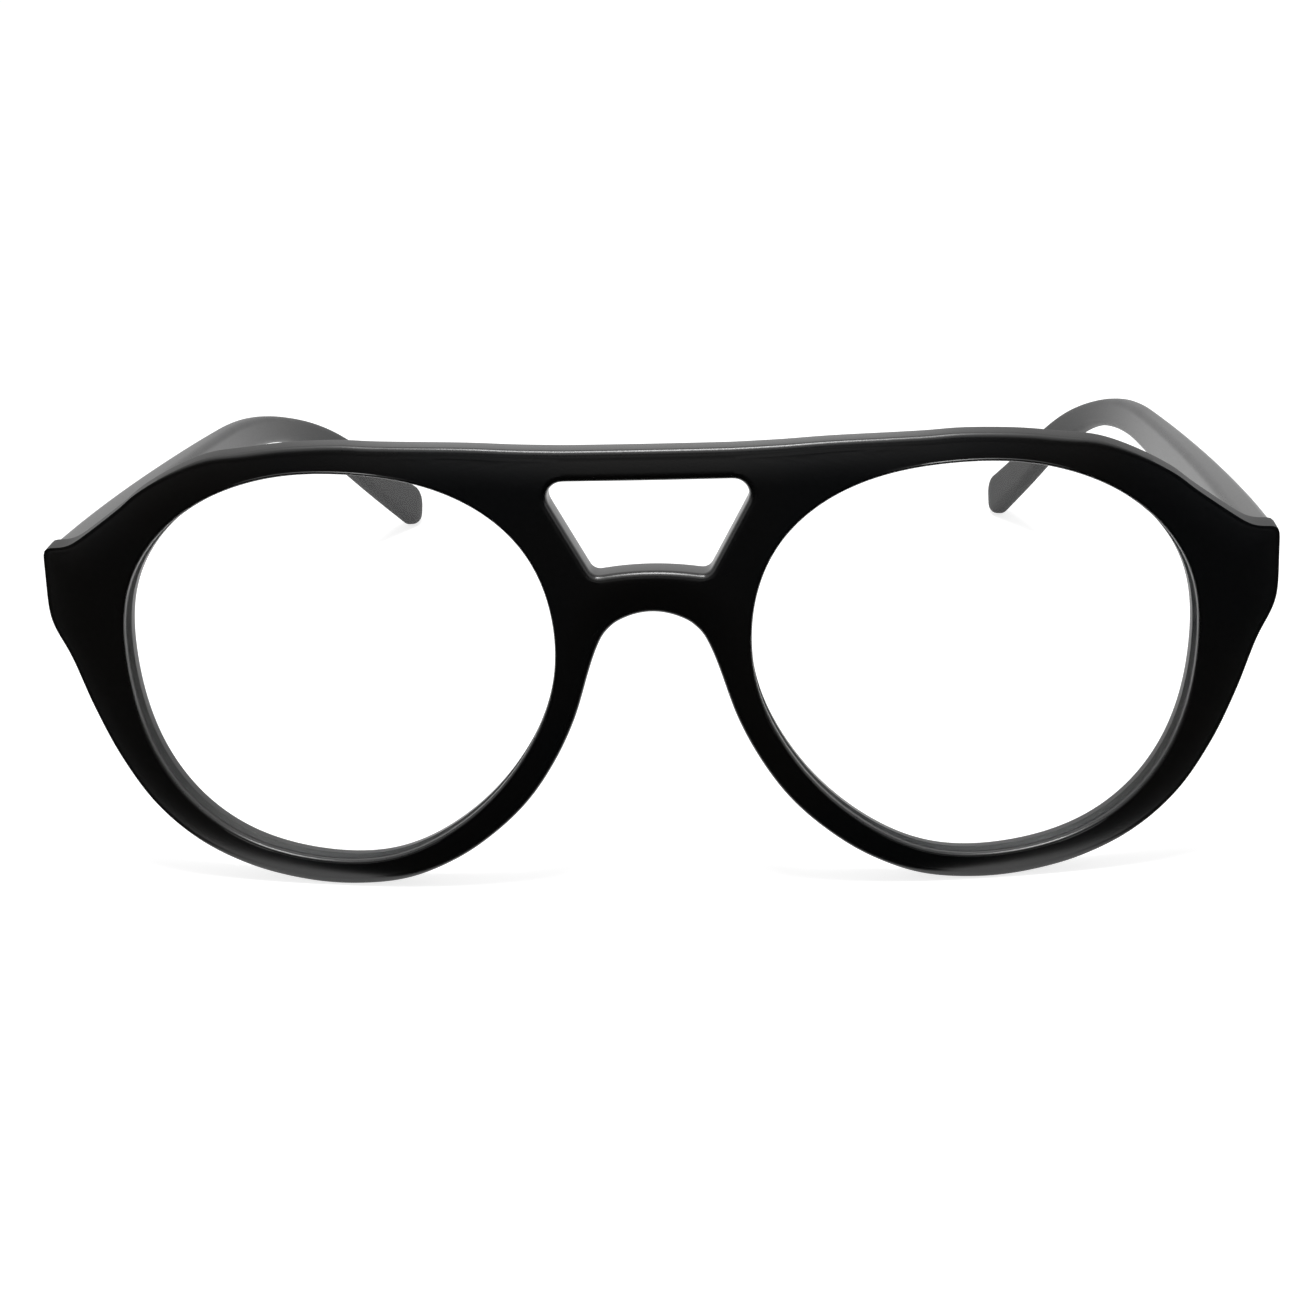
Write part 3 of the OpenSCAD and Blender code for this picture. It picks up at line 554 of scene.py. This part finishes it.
def even(curve, step):
    """The same curve with points an even step apart, measured along its first two columns."""
    along = np.r_[0, np.cumsum(np.linalg.norm(np.diff(curve[:, :2], axis=0), axis=1))]
    at = np.linspace(0, along[-1], int(round(along[-1] / step)) + 1)
    return np.column_stack([np.interp(at, along, column) for column in curve.T])

def settle(loop, spread):
    """A closed loop whose points are bell-shaped means of their neighbours, with that spread in points."""
    reach = np.arange(-int(4 * spread), int(4 * spread) + 1)
    weight = np.exp(-reach ** 2 / (2 * spread ** 2))
    return sum(w * np.roll(loop, k, axis=0) for k, w in zip(reach, weight / weight.sum()))

def loop_normals(loop):
    """Directions out of the plastic, to the left of the way round a closed loop."""
    d = np.roll(loop, -1, axis=0) - np.roll(loop, 1, axis=0)
    n = np.column_stack([-d[:, 1], d[:, 0]])
    return n / np.linalg.norm(n, axis=1, keepdims=True)

def closed_loop(half, bar_a, bar_b, spread):
    """Half, bar, mirrored half and bar as one settled loop: points and normals of half, bar_a and bar_b."""
    other = half[::-1, :2] * [-1, 1]
    loop = settle(np.vstack([half[:, :2], bar_a, other, bar_b]), spread)
    n = loop_normals(loop)
    h, a = len(half), len(bar_a)
    ends_a = np.arange(h - 1, h + a + 1)
    ends_b = np.arange(2 * h + a - 1, 2 * h + a + len(bar_b) + 1) % len(loop)
    return [(loop[k], n[k]) for k in (np.arange(h), ends_a, ends_b)]

f_low, f_top = np.linspace(1, -1, 25)[1:-1], np.linspace(1, -1, 41)[1:-1]
half_line = even(through(marks), outline_step)
outer, arch, brow = closed_loop(half_line,
    np.column_stack([f_low * arch_x, arch_z - arch_drop * f_low ** 2]),
    np.column_stack([-f_top * seam_x, np.full(len(f_top), bar_z)]), loop_spread)

def corner(x, z, r, start, stop, steps):
    """An arc of the keyhole: its centre, radius and the directions of its normals, in degrees."""
    w = np.radians(np.linspace(start, stop, steps))
    return np.column_stack([x - r * np.cos(w), z - r * np.sin(w)])

low_steps, flank_steps, top_steps = 9, 22, 15
low_arc = corner(key_low_x, key_z0 + key_bottom_r, key_bottom_r, 90, 90 + math.degrees(slant), low_steps)
top_arc = corner(seam_x, key_z1 - key_top_r, key_top_r, 90 + math.degrees(slant), 270, top_steps)
flank = low_arc[-1] + np.linspace(0, 1, flank_steps)[1:-1, None] * (top_arc[0] - low_arc[-1])
key_line = np.vstack([low_arc, flank, top_arc])
key_a = np.r_[np.linspace(key_low_a, flank_low_a, low_steps),
              np.linspace(flank_low_a, flank_top_a, flank_steps)[1:-1],
              np.linspace(flank_top_a, key_top_a, top_steps)]
key, key_top, key_low = closed_loop(key_line,
    np.column_stack([f_top * seam_x, np.full(len(f_top), key_z1)]),
    np.column_stack([-f_low * key_low_x, key_z0 + key_arch * (1 - f_low ** 2)]), loop_spread)
print("outline stations:", len(outer[0]), "keyhole stations:", len(key[0]))

# %% [markdown]
# ## The front
# One section runs round each opening: back, wall with its groove, face. The outer edge and the edge of
# the keyhole are strips of their own, rounded by a quarter circle at the face and at the back, and two
# bars join the halves over and under the keyhole. All strips share their border points, so they close
# into one skin. Polishing lets the face fall a little towards the outline, and that gives the edge its
# soft light. The end pieces are filed flush with the temples after polishing, so their edge is crisper
# and their wall is duller.

# %% The polished fall of the face, and the filed end pieces
crown_deep, crown_wide, batch = 0.36, 3.8, 500
crisp_r, crisp_from, crisp_over = 0.35, 44.0, 16.0
filed_from, filed_over = 24.0, 26.0

def towards_end(points, start, length):
    """0 in the middle of the front and 1 on the end pieces, with a smooth climb over a length of |x|."""
    return ease((np.abs(points[:, :1]) - start) / length)

def rounding(part):
    """Radius of the outer edge at each station: edge_r in the middle, crisp_r on the end pieces."""
    return edge_r + (crisp_r - edge_r) * towards_end(part[0], crisp_from, crisp_over)

rim_line = np.vstack([part[0] - rounding(part) * part[1] for part in (outer, arch, brow)])

def crown(flat):
    """Depth of the face: crown_deep (1 - d / crown_wide)^2, with d the distance to where the outer edge's
    rounding starts, and 0 further in. The points are taken in batches, to save memory."""
    x, z = flat.reshape(-1, 2).T
    points = np.column_stack([np.abs(x), z])
    d = np.concatenate([np.sqrt(((part[:, None] - rim_line[None]) ** 2).sum(-1).min(1))
                        for part in np.array_split(points, 1 + len(points) // batch)])
    return (crown_deep * np.clip(1 - d / crown_wide, 0, 1) ** 2).reshape(flat.shape[:-1])

print("the face falls by", round(float(crown(rim_line[:1])[0]), 2), "mm at the start of its rounded edge")

# %% Edges and rims, as strips
quarter = np.radians(np.linspace(0, 90, 9))

def edge_strip(line, normal, r):
    """From the face over the rounded edge to the back: inset r (1 - sin w), depth c + (r - c)(1 - cos w) with
    c the depth of the crown, and at the back the mirror of it with c = 0. Also rubbed and dull marks."""
    r = np.broadcast_to(r, (len(line), 1))
    inset = r * (1 - np.sin(quarter))
    depth = r * (1 - np.cos(quarter))
    flat = line[:, None] - np.hstack([inset, 0 * r, inset[:, ::-1]])[..., None] * normal[:, None]
    c = crown(flat[:, 0])[:, None]
    mark, cut = np.sin(2 * quarter), np.sin(quarter) ** 4
    return (lay(flat, np.hstack([c + (1 - c / r) * depth, 0 * r + front_t / 2, front_t - depth[:, ::-1]])),
            np.r_[mark, 0, mark[::-1]], towards_end(line, filed_from, filed_over) * np.r_[cut, 1, cut[::-1]])

across_face = np.array([0, 0.03, 0.1, 0.3, 0.45, 0.55, 0.65, 0.75, 0.84, 0.92, 0.97, 1])

def rim_strip(a, border):
    """From the border over the back, the wall and the groove to the face and the border again."""
    p, n = opening(a)
    inset = inner_edge_r * (1 - np.sin(quarter))
    depth = inner_edge_r * (1 - np.cos(quarter))
    start = p + inner_edge_r * n
    lean = start * [1 - front_t / base_r, 1]
    face = start[:, None] + across_face[None, :, None] * (border - start)[:, None]
    back = lean[:, None] + across_face[None, :, None] * (border - lean)[:, None]
    wall_in = np.r_[inset, 0, groove_d, 0, inset[::-1]]
    groove = groove_y + groove_w / 2 * np.array([1, 0, -1])
    wall_depth = np.r_[front_t - depth, groove, depth[::-1]]
    wall = p[:, None] + wall_in[None, :, None] * n[:, None]
    strip = np.concatenate([lay(back[:, ::-1], front_t), lay_square(wall[:, 1:-1], wall_depth[None, 1:-1]),
                            lay(face, crown(face))], 1)
    mark = np.sin(2 * quarter)[1:]
    flat_mark = np.zeros(len(across_face))
    return strip, np.r_[flat_mark, mark, 0, 0, 0, mark[::-1], flat_mark]

strip_points = edge_strip(*outer, rounding(outer))[0].shape
print("outer edge:", strip_points[0], "stations of", strip_points[1], "points")

# %% Bars, borders and one skin
low_count, top_count = 9, 6

def start_line(part, r):
    """Where the rounding of an edge starts on the face."""
    return part[0] - r * part[1]

def between(first, last, count):
    """Points between two points or rows of points, without the ends: first + t (last - first)."""
    t = np.arange(1, count + 1) / (count + 1)
    return first[..., None, :] + t[:, None] * (last - first)[..., None, :]

def bar_strip(out_part, key_part, count):
    """A bar between the halves: outer edge, back, keyhole edge and face, as one closed loop per column."""
    (out_edge, out_mark), (key_edge, key_mark) = (edge_strip(*part, r)[:2] for part, r in
                                                  ((out_part, edge_r), (key_part, key_edge_r)))
    cross = between(start_line(out_part, edge_r), start_line(key_part, key_edge_r), count)
    face = lay(cross, crown(cross))
    loop = np.concatenate([out_edge, lay(cross, front_t), key_edge[:, ::-1], face[:, ::-1]], 1)
    return loop, np.r_[out_mark, np.zeros(count), key_mark, np.zeros(count)]

out_start, key_start = start_line(outer, rounding(outer)), start_line(key, key_edge_r)
border = np.vstack([out_start, between(out_start[-1], key_start[0], low_count), key_start,
                    between(key_start[-1], out_start[0], top_count)])
ring_a = np.r_[half_line[:, 2], np.linspace(arch_a, key_low_a, low_count + 2)[1:-1], key_a,
               np.linspace(key_top_a, seam_a, top_count + 2)[1:-1]]
rim, rim_mark = rim_strip(ring_a, border)
strips = [(rim, grid_faces(*rim.shape[:2], closed=True), rim_mark, 0.0)]
for part, r in ((outer, rounding(outer)), (key, key_edge_r)):
    strip, mark, cut = edge_strip(*part, r)
    strips.append((strip, grid_faces(*strip.shape[:2]), mark, cut))
strips += [(s[0] * [-1, 1, 1], *s[1:]) for s in strips]
flipped = [(p[::-1], n[::-1]) for p, n in (brow, key_low)]
for out_part, key_part, count in ((flipped[0], key_top, top_count), (arch, flipped[1], low_count)):
    strip, mark = bar_strip(out_part, key_part, count)
    strips.append((strip, grid_faces(*strip.shape[:2], around=True), mark, 0.0))
build("front", strips, "front", ["front_frame"], satin_black)

# %% [markdown]
# ## The lenses
# A clear plastic lens is ground to a bevelled edge and snapped into the groove. It is a shallow dome, so
# it is worked out in rings from the middle to the edge. The coating of such lenses swallows their
# reflections, and the material says so with a low index of refraction. The ground edge is dull, and the
# faces of the bevel get a near-black colour of their own: painted shade for the dark groove they lie in.

# %% Clear lens material and the two lenses
lens_t, lens_dome, lens_gap = 2.0, 1.6, 0.04
dome_rings, bevel_rings, lens_stations = 15, 3, 360
coated_index, film_haze = 1.2, 0.01

def clear_lens():
    """Clear plastic that lets light through without a dark shadow."""
    mat, tree, shade = new_material("clear_lens")
    set_inputs(shade, Base_Color=WHITE, Transmission_Weight=1.0, IOR=coated_index)
    film = place_group(tree, groups["grain"], Grains_per_metre=300.0, Cloud_size=60.0)
    tree.links.new(math_node(tree, "MULTIPLY", film.outputs["Cloud"], film_haze), shade.inputs["Roughness"])
    path = tree.nodes.new("ShaderNodeLightPath")
    clear = tree.nodes.new("ShaderNodeBsdfTransparent")
    surface = tree.nodes["Material Output"].inputs["Surface"]
    tree.links.new(either_shader(tree, path.outputs["Is Shadow Ray"], shade, clear), surface)
    return mat

def lens_grid():
    """Rings from the middle of the front dome over the bevel to the middle of the back dome.
    Depth of a dome = groove_y +- lens_t / 2 - lens_dome (1 - f^2), f being the share of the way out."""
    a = np.arange(lens_stations) * 360 / lens_stations - 180
    p, n = opening(a)
    middle = np.array([eye_x, eye_z])
    f = np.sin(np.radians(np.linspace(0, 90, dome_rings)))
    dome = middle + f[None, :, None] * (p - lens_gap * n - middle)[:, None]
    drop = lens_dome * (1 - f ** 2)
    half = groove_w / 2 - lens_gap
    out = np.array([-lens_gap, groove_d - 2 * lens_gap, -lens_gap])
    bevel = p[:, None] + out[None, :, None] * n[:, None]
    flat = np.concatenate([dome, bevel, dome[:, ::-1]], 1)
    depth = np.r_[groove_y - lens_t / 2 - drop, groove_y - half, groove_y, groove_y + half,
                  (groove_y + lens_t / 2 - drop)[::-1]]
    return lay_square(flat, depth[None])

glass = clear_lens()
# The bevel's near-black colour is painted shade: it stands in for the dark groove that the dull ground edge
# lies in.
ground_edge_painted_shade = plastic("ground_lens_edge_painted_shade", (0.020, 0.022, 0.023), (0.032, 0.033, 0.032),
                      rough=0.6, gloss=0.4, grain_depth=0.000004, rub=0.0)
dome = lens_grid()
dome_faces = grid_faces(*dome.shape[:2], closed=True)
ring = dome_faces[:, 0] % dome.shape[1]
on_edge = (ring >= dome_rings - 1) & (ring < dome_rings + bevel_rings)
lens_grids = [(dome, dome_faces, 0.0, 0.0)]
for side in ("left", "right"):
    build("lens_glass_" + side, lens_grids, "front", ["lens_" + side], glass,
          sharp=20.0, mirror=side == "right", second=(ground_edge_painted_shade, on_edge))

# %% [markdown]
# ## The nose pads
# A small half oval of plastic is bonded behind each rim at the nose. It leans out towards the cheek, so
# that it lies flat on the side of the nose.

# %% Nose pads
pad_l, pad_d, pad_t, pad_splay, pad_in, pad_place, pad_seat = 13.0, 4.4, 2.1, 8.0, 0.2, -160.0, 0.02
pad_stations, pad_points = 41, 25

def pad_grid():
    """Half an oval. With f = sqrt(1 - t^2) along the rim it reaches pad_d f sin w backwards and
    pad_t / 2 (0.4 + 0.6 f) f cos w sideways."""
    t = -np.cos(np.radians(np.linspace(0, 180, pad_stations)))[:, None]
    w = np.radians(np.linspace(0, 180, pad_points))[None, :]
    r = np.linalg.norm(opening_edge(np.array(pad_place)) - [eye_x, eye_z])
    p, n = opening(pad_place - t[:, 0] * math.degrees(pad_l / 2 / r))
    f = np.sqrt(np.clip(1 - t * t, 0, None))
    back = pad_d * f * np.sin(w)
    side = pad_t / 2 * (0.4 + 0.6 * f) * f * np.cos(w)
    out = inner_edge_r + pad_t / 2 + pad_in + side - back * math.tan(math.radians(pad_splay))
    return lay_square(p[:, None] + out[..., None] * n[:, None], front_t + pad_seat + back)

soft_black = plastic("soft_black_pad", (0.010, 0.010, 0.011), (0.013, 0.012, 0.011),
                     rough=0.55, gloss=0.4, grain_depth=0.000003, rub=0.05)
pad = pad_grid()
pad_grids = [(pad, grid_faces(*pad.shape[:2], around=True), 0.0, 0.0)]
for side in ("left", "right"):
    build("pad_" + side, pad_grids, "front", ["nose_pad_" + side], soft_black,
          sharp=50.0, mirror=side == "right")

# %% [markdown]
# ## The temples
# A temple is cut from sheet, bent over the ear and curled in at the end. Its path is a straight run with
# a slight bow, an arc, and a straight tail, and a rounded rectangle is carried along it. The rear end
# closes like a fingertip, and the front end is cut to follow the end piece, a hair behind it. Its finish
# grows duller over the bend, towards the ear.

# %% The path of a temple
temple_t, tip_t, temple_h, mid_h, bend_h, ear_h, tip_h = 4.0, 2.8, 7.4, 6.6, 5.4, 3.6, 6.8
temple_run, slope, drop, bend_r = 71.0, math.radians(2.6), math.radians(33.5), 107.0
toe_in, bow_r, curl_r, temple_edge_r, butt_gap = math.radians(0.4), 700.0, 1900.0, 1.1, 0.2
temple_x = end_x - 0.1 - temple_t / 2
temple_y = bend(temple_x) + front_t + butt_gap
temple_z = end_z + 0.3
arc_l = bend_r * (drop - slope)
bend_end_y = temple_y + temple_run * math.cos(slope) + bend_r * (math.sin(drop) - math.sin(slope))
bend_end_z = temple_z - temple_run * math.sin(slope) - bend_r * (math.cos(slope) - math.cos(drop))
path_l = temple_run + arc_l + (bend_end_z - tip_h / 2) / math.sin(drop)

def temple_path(s):
    """Middle, side and up directions at distances s along the temple: x bows and curls in by squares of the
    distance, y and z follow the run, then the arc, then the tail."""
    past = np.maximum(0, s - temple_run)
    x = temple_x - math.tan(toe_in) * s - s ** 2 / (2 * bow_r) - past ** 2 / (2 * curl_r)
    lean = math.tan(toe_in) + s / bow_r + past / curl_r
    w = slope + np.clip(s - temple_run, 0, arc_l) / bend_r
    tail = np.maximum(0, s - temple_run - arc_l)
    run = s < temple_run
    y = np.where(run, temple_y + s * np.cos(w),
                 bend_end_y - bend_r * (math.sin(drop) - np.sin(w)) + tail * np.cos(w))
    z = np.where(run, temple_z - s * np.sin(w),
                 bend_end_z + bend_r * (np.cos(w) - math.cos(drop)) - tail * np.sin(w))
    up = np.stack([0 * s, np.sin(w), np.cos(w)], -1)
    side = np.cross(np.stack([-lean, np.cos(w), -np.sin(w)], -1), up)
    return np.stack([x, y, z], -1), side / np.linalg.norm(side, axis=-1, keepdims=True), up

def eased(s, table, spread=7.0):
    """A table of widths at distances, read with a bell-shaped mean, so that it has no kinks."""
    reach = np.linspace(-3, 3, 25)
    weight = np.exp(-reach ** 2 / 2)
    low, high = table[0][0], table[-1][0]
    room = np.minimum(s - low, high - s).clip(0) / reach[-1]
    at = np.clip(s[:, None] + reach * np.minimum(spread, room)[:, None], low, high)
    return np.interp(at, *np.array(table).T) @ (weight / weight.sum())

print("temple path:", round(path_l, 1), "mm, bend over the ear:", round(arc_l, 1), "mm")

# %% The skin of a temple
butt_r, butt_turn, dull_from = 0.25, 4.0, 0.75 * temple_run
tip_power, corner_share = 0.4, 0.49
fine_run, run_stations, tip_stations = 15, 140, 14

def rounded_box(t, h, r, steps=7):
    """Loops of rounded rectangles: quarter circles of radius r round the corners of t x h."""
    w = np.radians(np.concatenate([np.linspace(q * 90, q * 90 + 90, steps) for q in range(4)]))
    sx = np.repeat([1, -1, -1, 1], steps)
    sz = np.repeat([1, 1, -1, -1], steps)
    x = sx * (t / 2 - r)[:, None] + r[:, None] * np.cos(w)
    z = sz * (h / 2 - r)[:, None] + r[:, None] * np.sin(w)
    return x, z, np.abs(np.sin(2 * w))

def temple_stations():
    """For each station its distance s, the inset of its edge, its scale and its share f of the full size. The
    butt's flat end grows from its middle, its edge is a quarter circle, and the tip shrinks by f = cos w."""
    cap = np.array([0, 0.3, 0.7])
    q = np.radians(np.linspace(0, 90, 5))
    run = np.r_[np.arange(1.0, fine_run, 1), np.linspace(fine_run, path_l, run_stations)]
    tip = np.radians(np.linspace(0, 90, tip_stations))[1:]
    s = np.r_[0 * cap, butt_r * (1 - np.cos(q)), run, np.full(len(tip), path_l)]
    inset = np.r_[np.full(len(cap), butt_r), butt_r * (1 - np.sin(q)), np.zeros(len(run) + len(tip))]
    scale = np.r_[cap, np.ones(len(s) - len(cap))]
    return s, inset, scale, np.r_[np.ones(len(s) - len(tip)), np.cos(tip)]

def temple_grid():
    """The rounded rectangle at each station, with its rubbed and its dull marks. Near the front end it turns
    to follow the back of the end piece, and past the rear end it moves on by tip_h / 2 sin w."""
    s, inset, scale, f = temple_stations()
    t = eased(s, [[0, temple_t], [14, temple_t], [temple_run, tip_t], [path_l, tip_t]])
    h = eased(s, [[0, temple_h], [0.4 * temple_run, mid_h], [0.9 * temple_run, bend_h],
                  [temple_run + arc_l / 2, ear_h], [path_l, tip_h]], 5.0)
    t, h = t * f ** tip_power - 2 * inset, h * f - 2 * inset
    x, z, mark = rounded_box(t, h, np.minimum(temple_edge_r - inset, corner_share * np.minimum(t, h)))
    middle, side, up = temple_path(s)
    past = tip_h / 2 * np.sqrt(1 - f ** 2)[:, None] * np.cross(up, side)
    points = ((middle + past)[:, None] + (scale[:, None] * x)[..., None] * side[:, None]
              + (scale[:, None] * z)[..., None] * up[:, None])
    square = middle[:, None, 1] + bend(points[..., 0]) - bend(temple_x)
    points[..., 1] += np.clip(1 - s / butt_turn, 0, 1)[:, None] * (square - points[..., 1])
    ear = ease((s - dull_from) / (temple_run + arc_l - dull_from))
    return points, mark[None, :] * (scale[:, None] == 1), ear[:, None]

temple, rubbed_marks, dull_marks = temple_grid()
temple_grids = [(temple, grid_faces(*temple.shape[:2], around=True), rubbed_marks, dull_marks)]
for side in ("left", "right"):
    build("temple_arm_" + side, temple_grids, "temple_" + side, ["temple_" + side],
          satin_black, sharp=50.0, mirror=side == "right")

# %% [markdown]
# ## The hinges and the core wires
# The leaves are stamped from nickel silver and the screws are turned, so their edges have a small break.
# A copy of each CAD node is merged into one skin, its flat sides are joined to single faces, and a Bevel
# modifier breaks the edges. The wire inside each temple is not seen from outside and stays as the CAD
# node, with a drawn steel finish.

# %% Metal finishes
brush_spread, brush_depth, brush_strength = 0.2, 0.000004, 0.6

def brushed_group():
    """Brush lines: noise stretched along one axis."""
    tree, into, out = new_group("brush_lines", {"Lines per metre": 9000.0, "Stretch": 0.05},
                                {"Height": "NodeSocketFloat"})
    apart = tree.nodes.new("ShaderNodeSeparateXYZ")
    tree.links.new(object_point(tree), apart.inputs[0])
    join = tree.nodes.new("ShaderNodeCombineXYZ")
    tree.links.new(math_node(tree, "MULTIPLY", apart.outputs["X"], into.outputs["Stretch"]), join.inputs["X"])
    tree.links.new(math_node(tree, "MULTIPLY", apart.outputs["Y"], into.outputs["Stretch"]), join.inputs["Y"])
    tree.links.new(apart.outputs["Z"], join.inputs["Z"])
    lines = add(tree, "ShaderNodeTexNoise", Detail=3.0)
    tree.links.new(join.outputs[0], lines.inputs["Vector"])
    tree.links.new(into.outputs["Lines per metre"], lines.inputs["Scale"])
    tree.links.new(lines.outputs["Fac"], out.inputs["Height"])
    return tree

groups["brush"] = brushed_group()

def metal(name, colour, worn, rough, lines):
    """Bare metal with fine lines and a duller tone in patches."""
    mat, tree, shade = new_material(name)
    set_inputs(shade, Metallic=1.0)
    grain = place_group(tree, groups["grain"], Grains_per_metre=4000.0, Cloud_size=500.0)
    brush = place_group(tree, groups["brush"], Lines_per_metre=lines)
    tree.links.new(blend_colours(tree, grain.outputs["Cloud"], colour, worn), shade.inputs["Base Color"])
    uneven = uneven_roughness(tree, brush.outputs["Height"], rough, brush_spread)
    tree.links.new(uneven, shade.inputs["Roughness"])
    tree.links.new(bumped(tree, brush.outputs["Height"], brush_depth, brush_strength), shade.inputs["Normal"])
    return mat

nickel = metal("nickel_silver", (0.56, 0.54, 0.50), (0.44, 0.42, 0.39), 0.34, 9000.0)
screw_steel = metal("turned_steel", (0.50, 0.50, 0.51), (0.38, 0.38, 0.39), 0.28, 14000.0)
drawn_steel = metal("drawn_steel", (0.45, 0.45, 0.46), (0.33, 0.33, 0.34), 0.4, 20000.0)
print("metals:", nickel.name, screw_steel.name, drawn_steel.name)

# %% Hinge leaves, screws and wires
leaf_break, screw_break, corner_angle = 0.00008, 0.00006, math.radians(40)
merge, flat_angle = 2e-6, math.radians(1)

def edge_broken_copy(name, node, body, material, width):
    """A merged copy of a CAD node with flat sides joined and edges broken by the width, in metres."""
    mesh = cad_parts[node].data.copy()
    mesh.name = name
    work = bmesh.new()
    work.from_mesh(mesh)
    bmesh.ops.remove_doubles(work, verts=work.verts, dist=merge)
    bmesh.ops.dissolve_limit(work, angle_limit=flat_angle, verts=work.verts, edges=work.edges)
    work.to_mesh(mesh)
    work.free()
    mesh.materials.clear()
    mesh.materials.append(material)
    mesh.shade_smooth()
    mesh.set_sharp_from_angle(angle=corner_angle)
    piece = put_in_scene(name, mesh)
    bevel = piece.modifiers.new("broken edges", "BEVEL")
    bevel.width, bevel.segments, bevel.limit_method = width, 2, "ANGLE"
    bevel.angle_limit, bevel.harden_normals = corner_angle, True
    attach(piece, body)
    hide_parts(node)
    print(f"{name}: {len(mesh.polygons)} faces before its bevel")

for side in ("left", "right"):
    edge_broken_copy("hinge_front_" + side, "front_hinge_leaf_" + side, "front", nickel, leaf_break)
    edge_broken_copy("hinge_back_" + side, "temple_hinge_leaf_" + side, "temple_" + side, nickel, leaf_break)
    edge_broken_copy("screw_" + side, "hinge_screw_" + side, "front", screw_steel, screw_break)
    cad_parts["core_wire_" + side].material_slots[0].material = drawn_steel
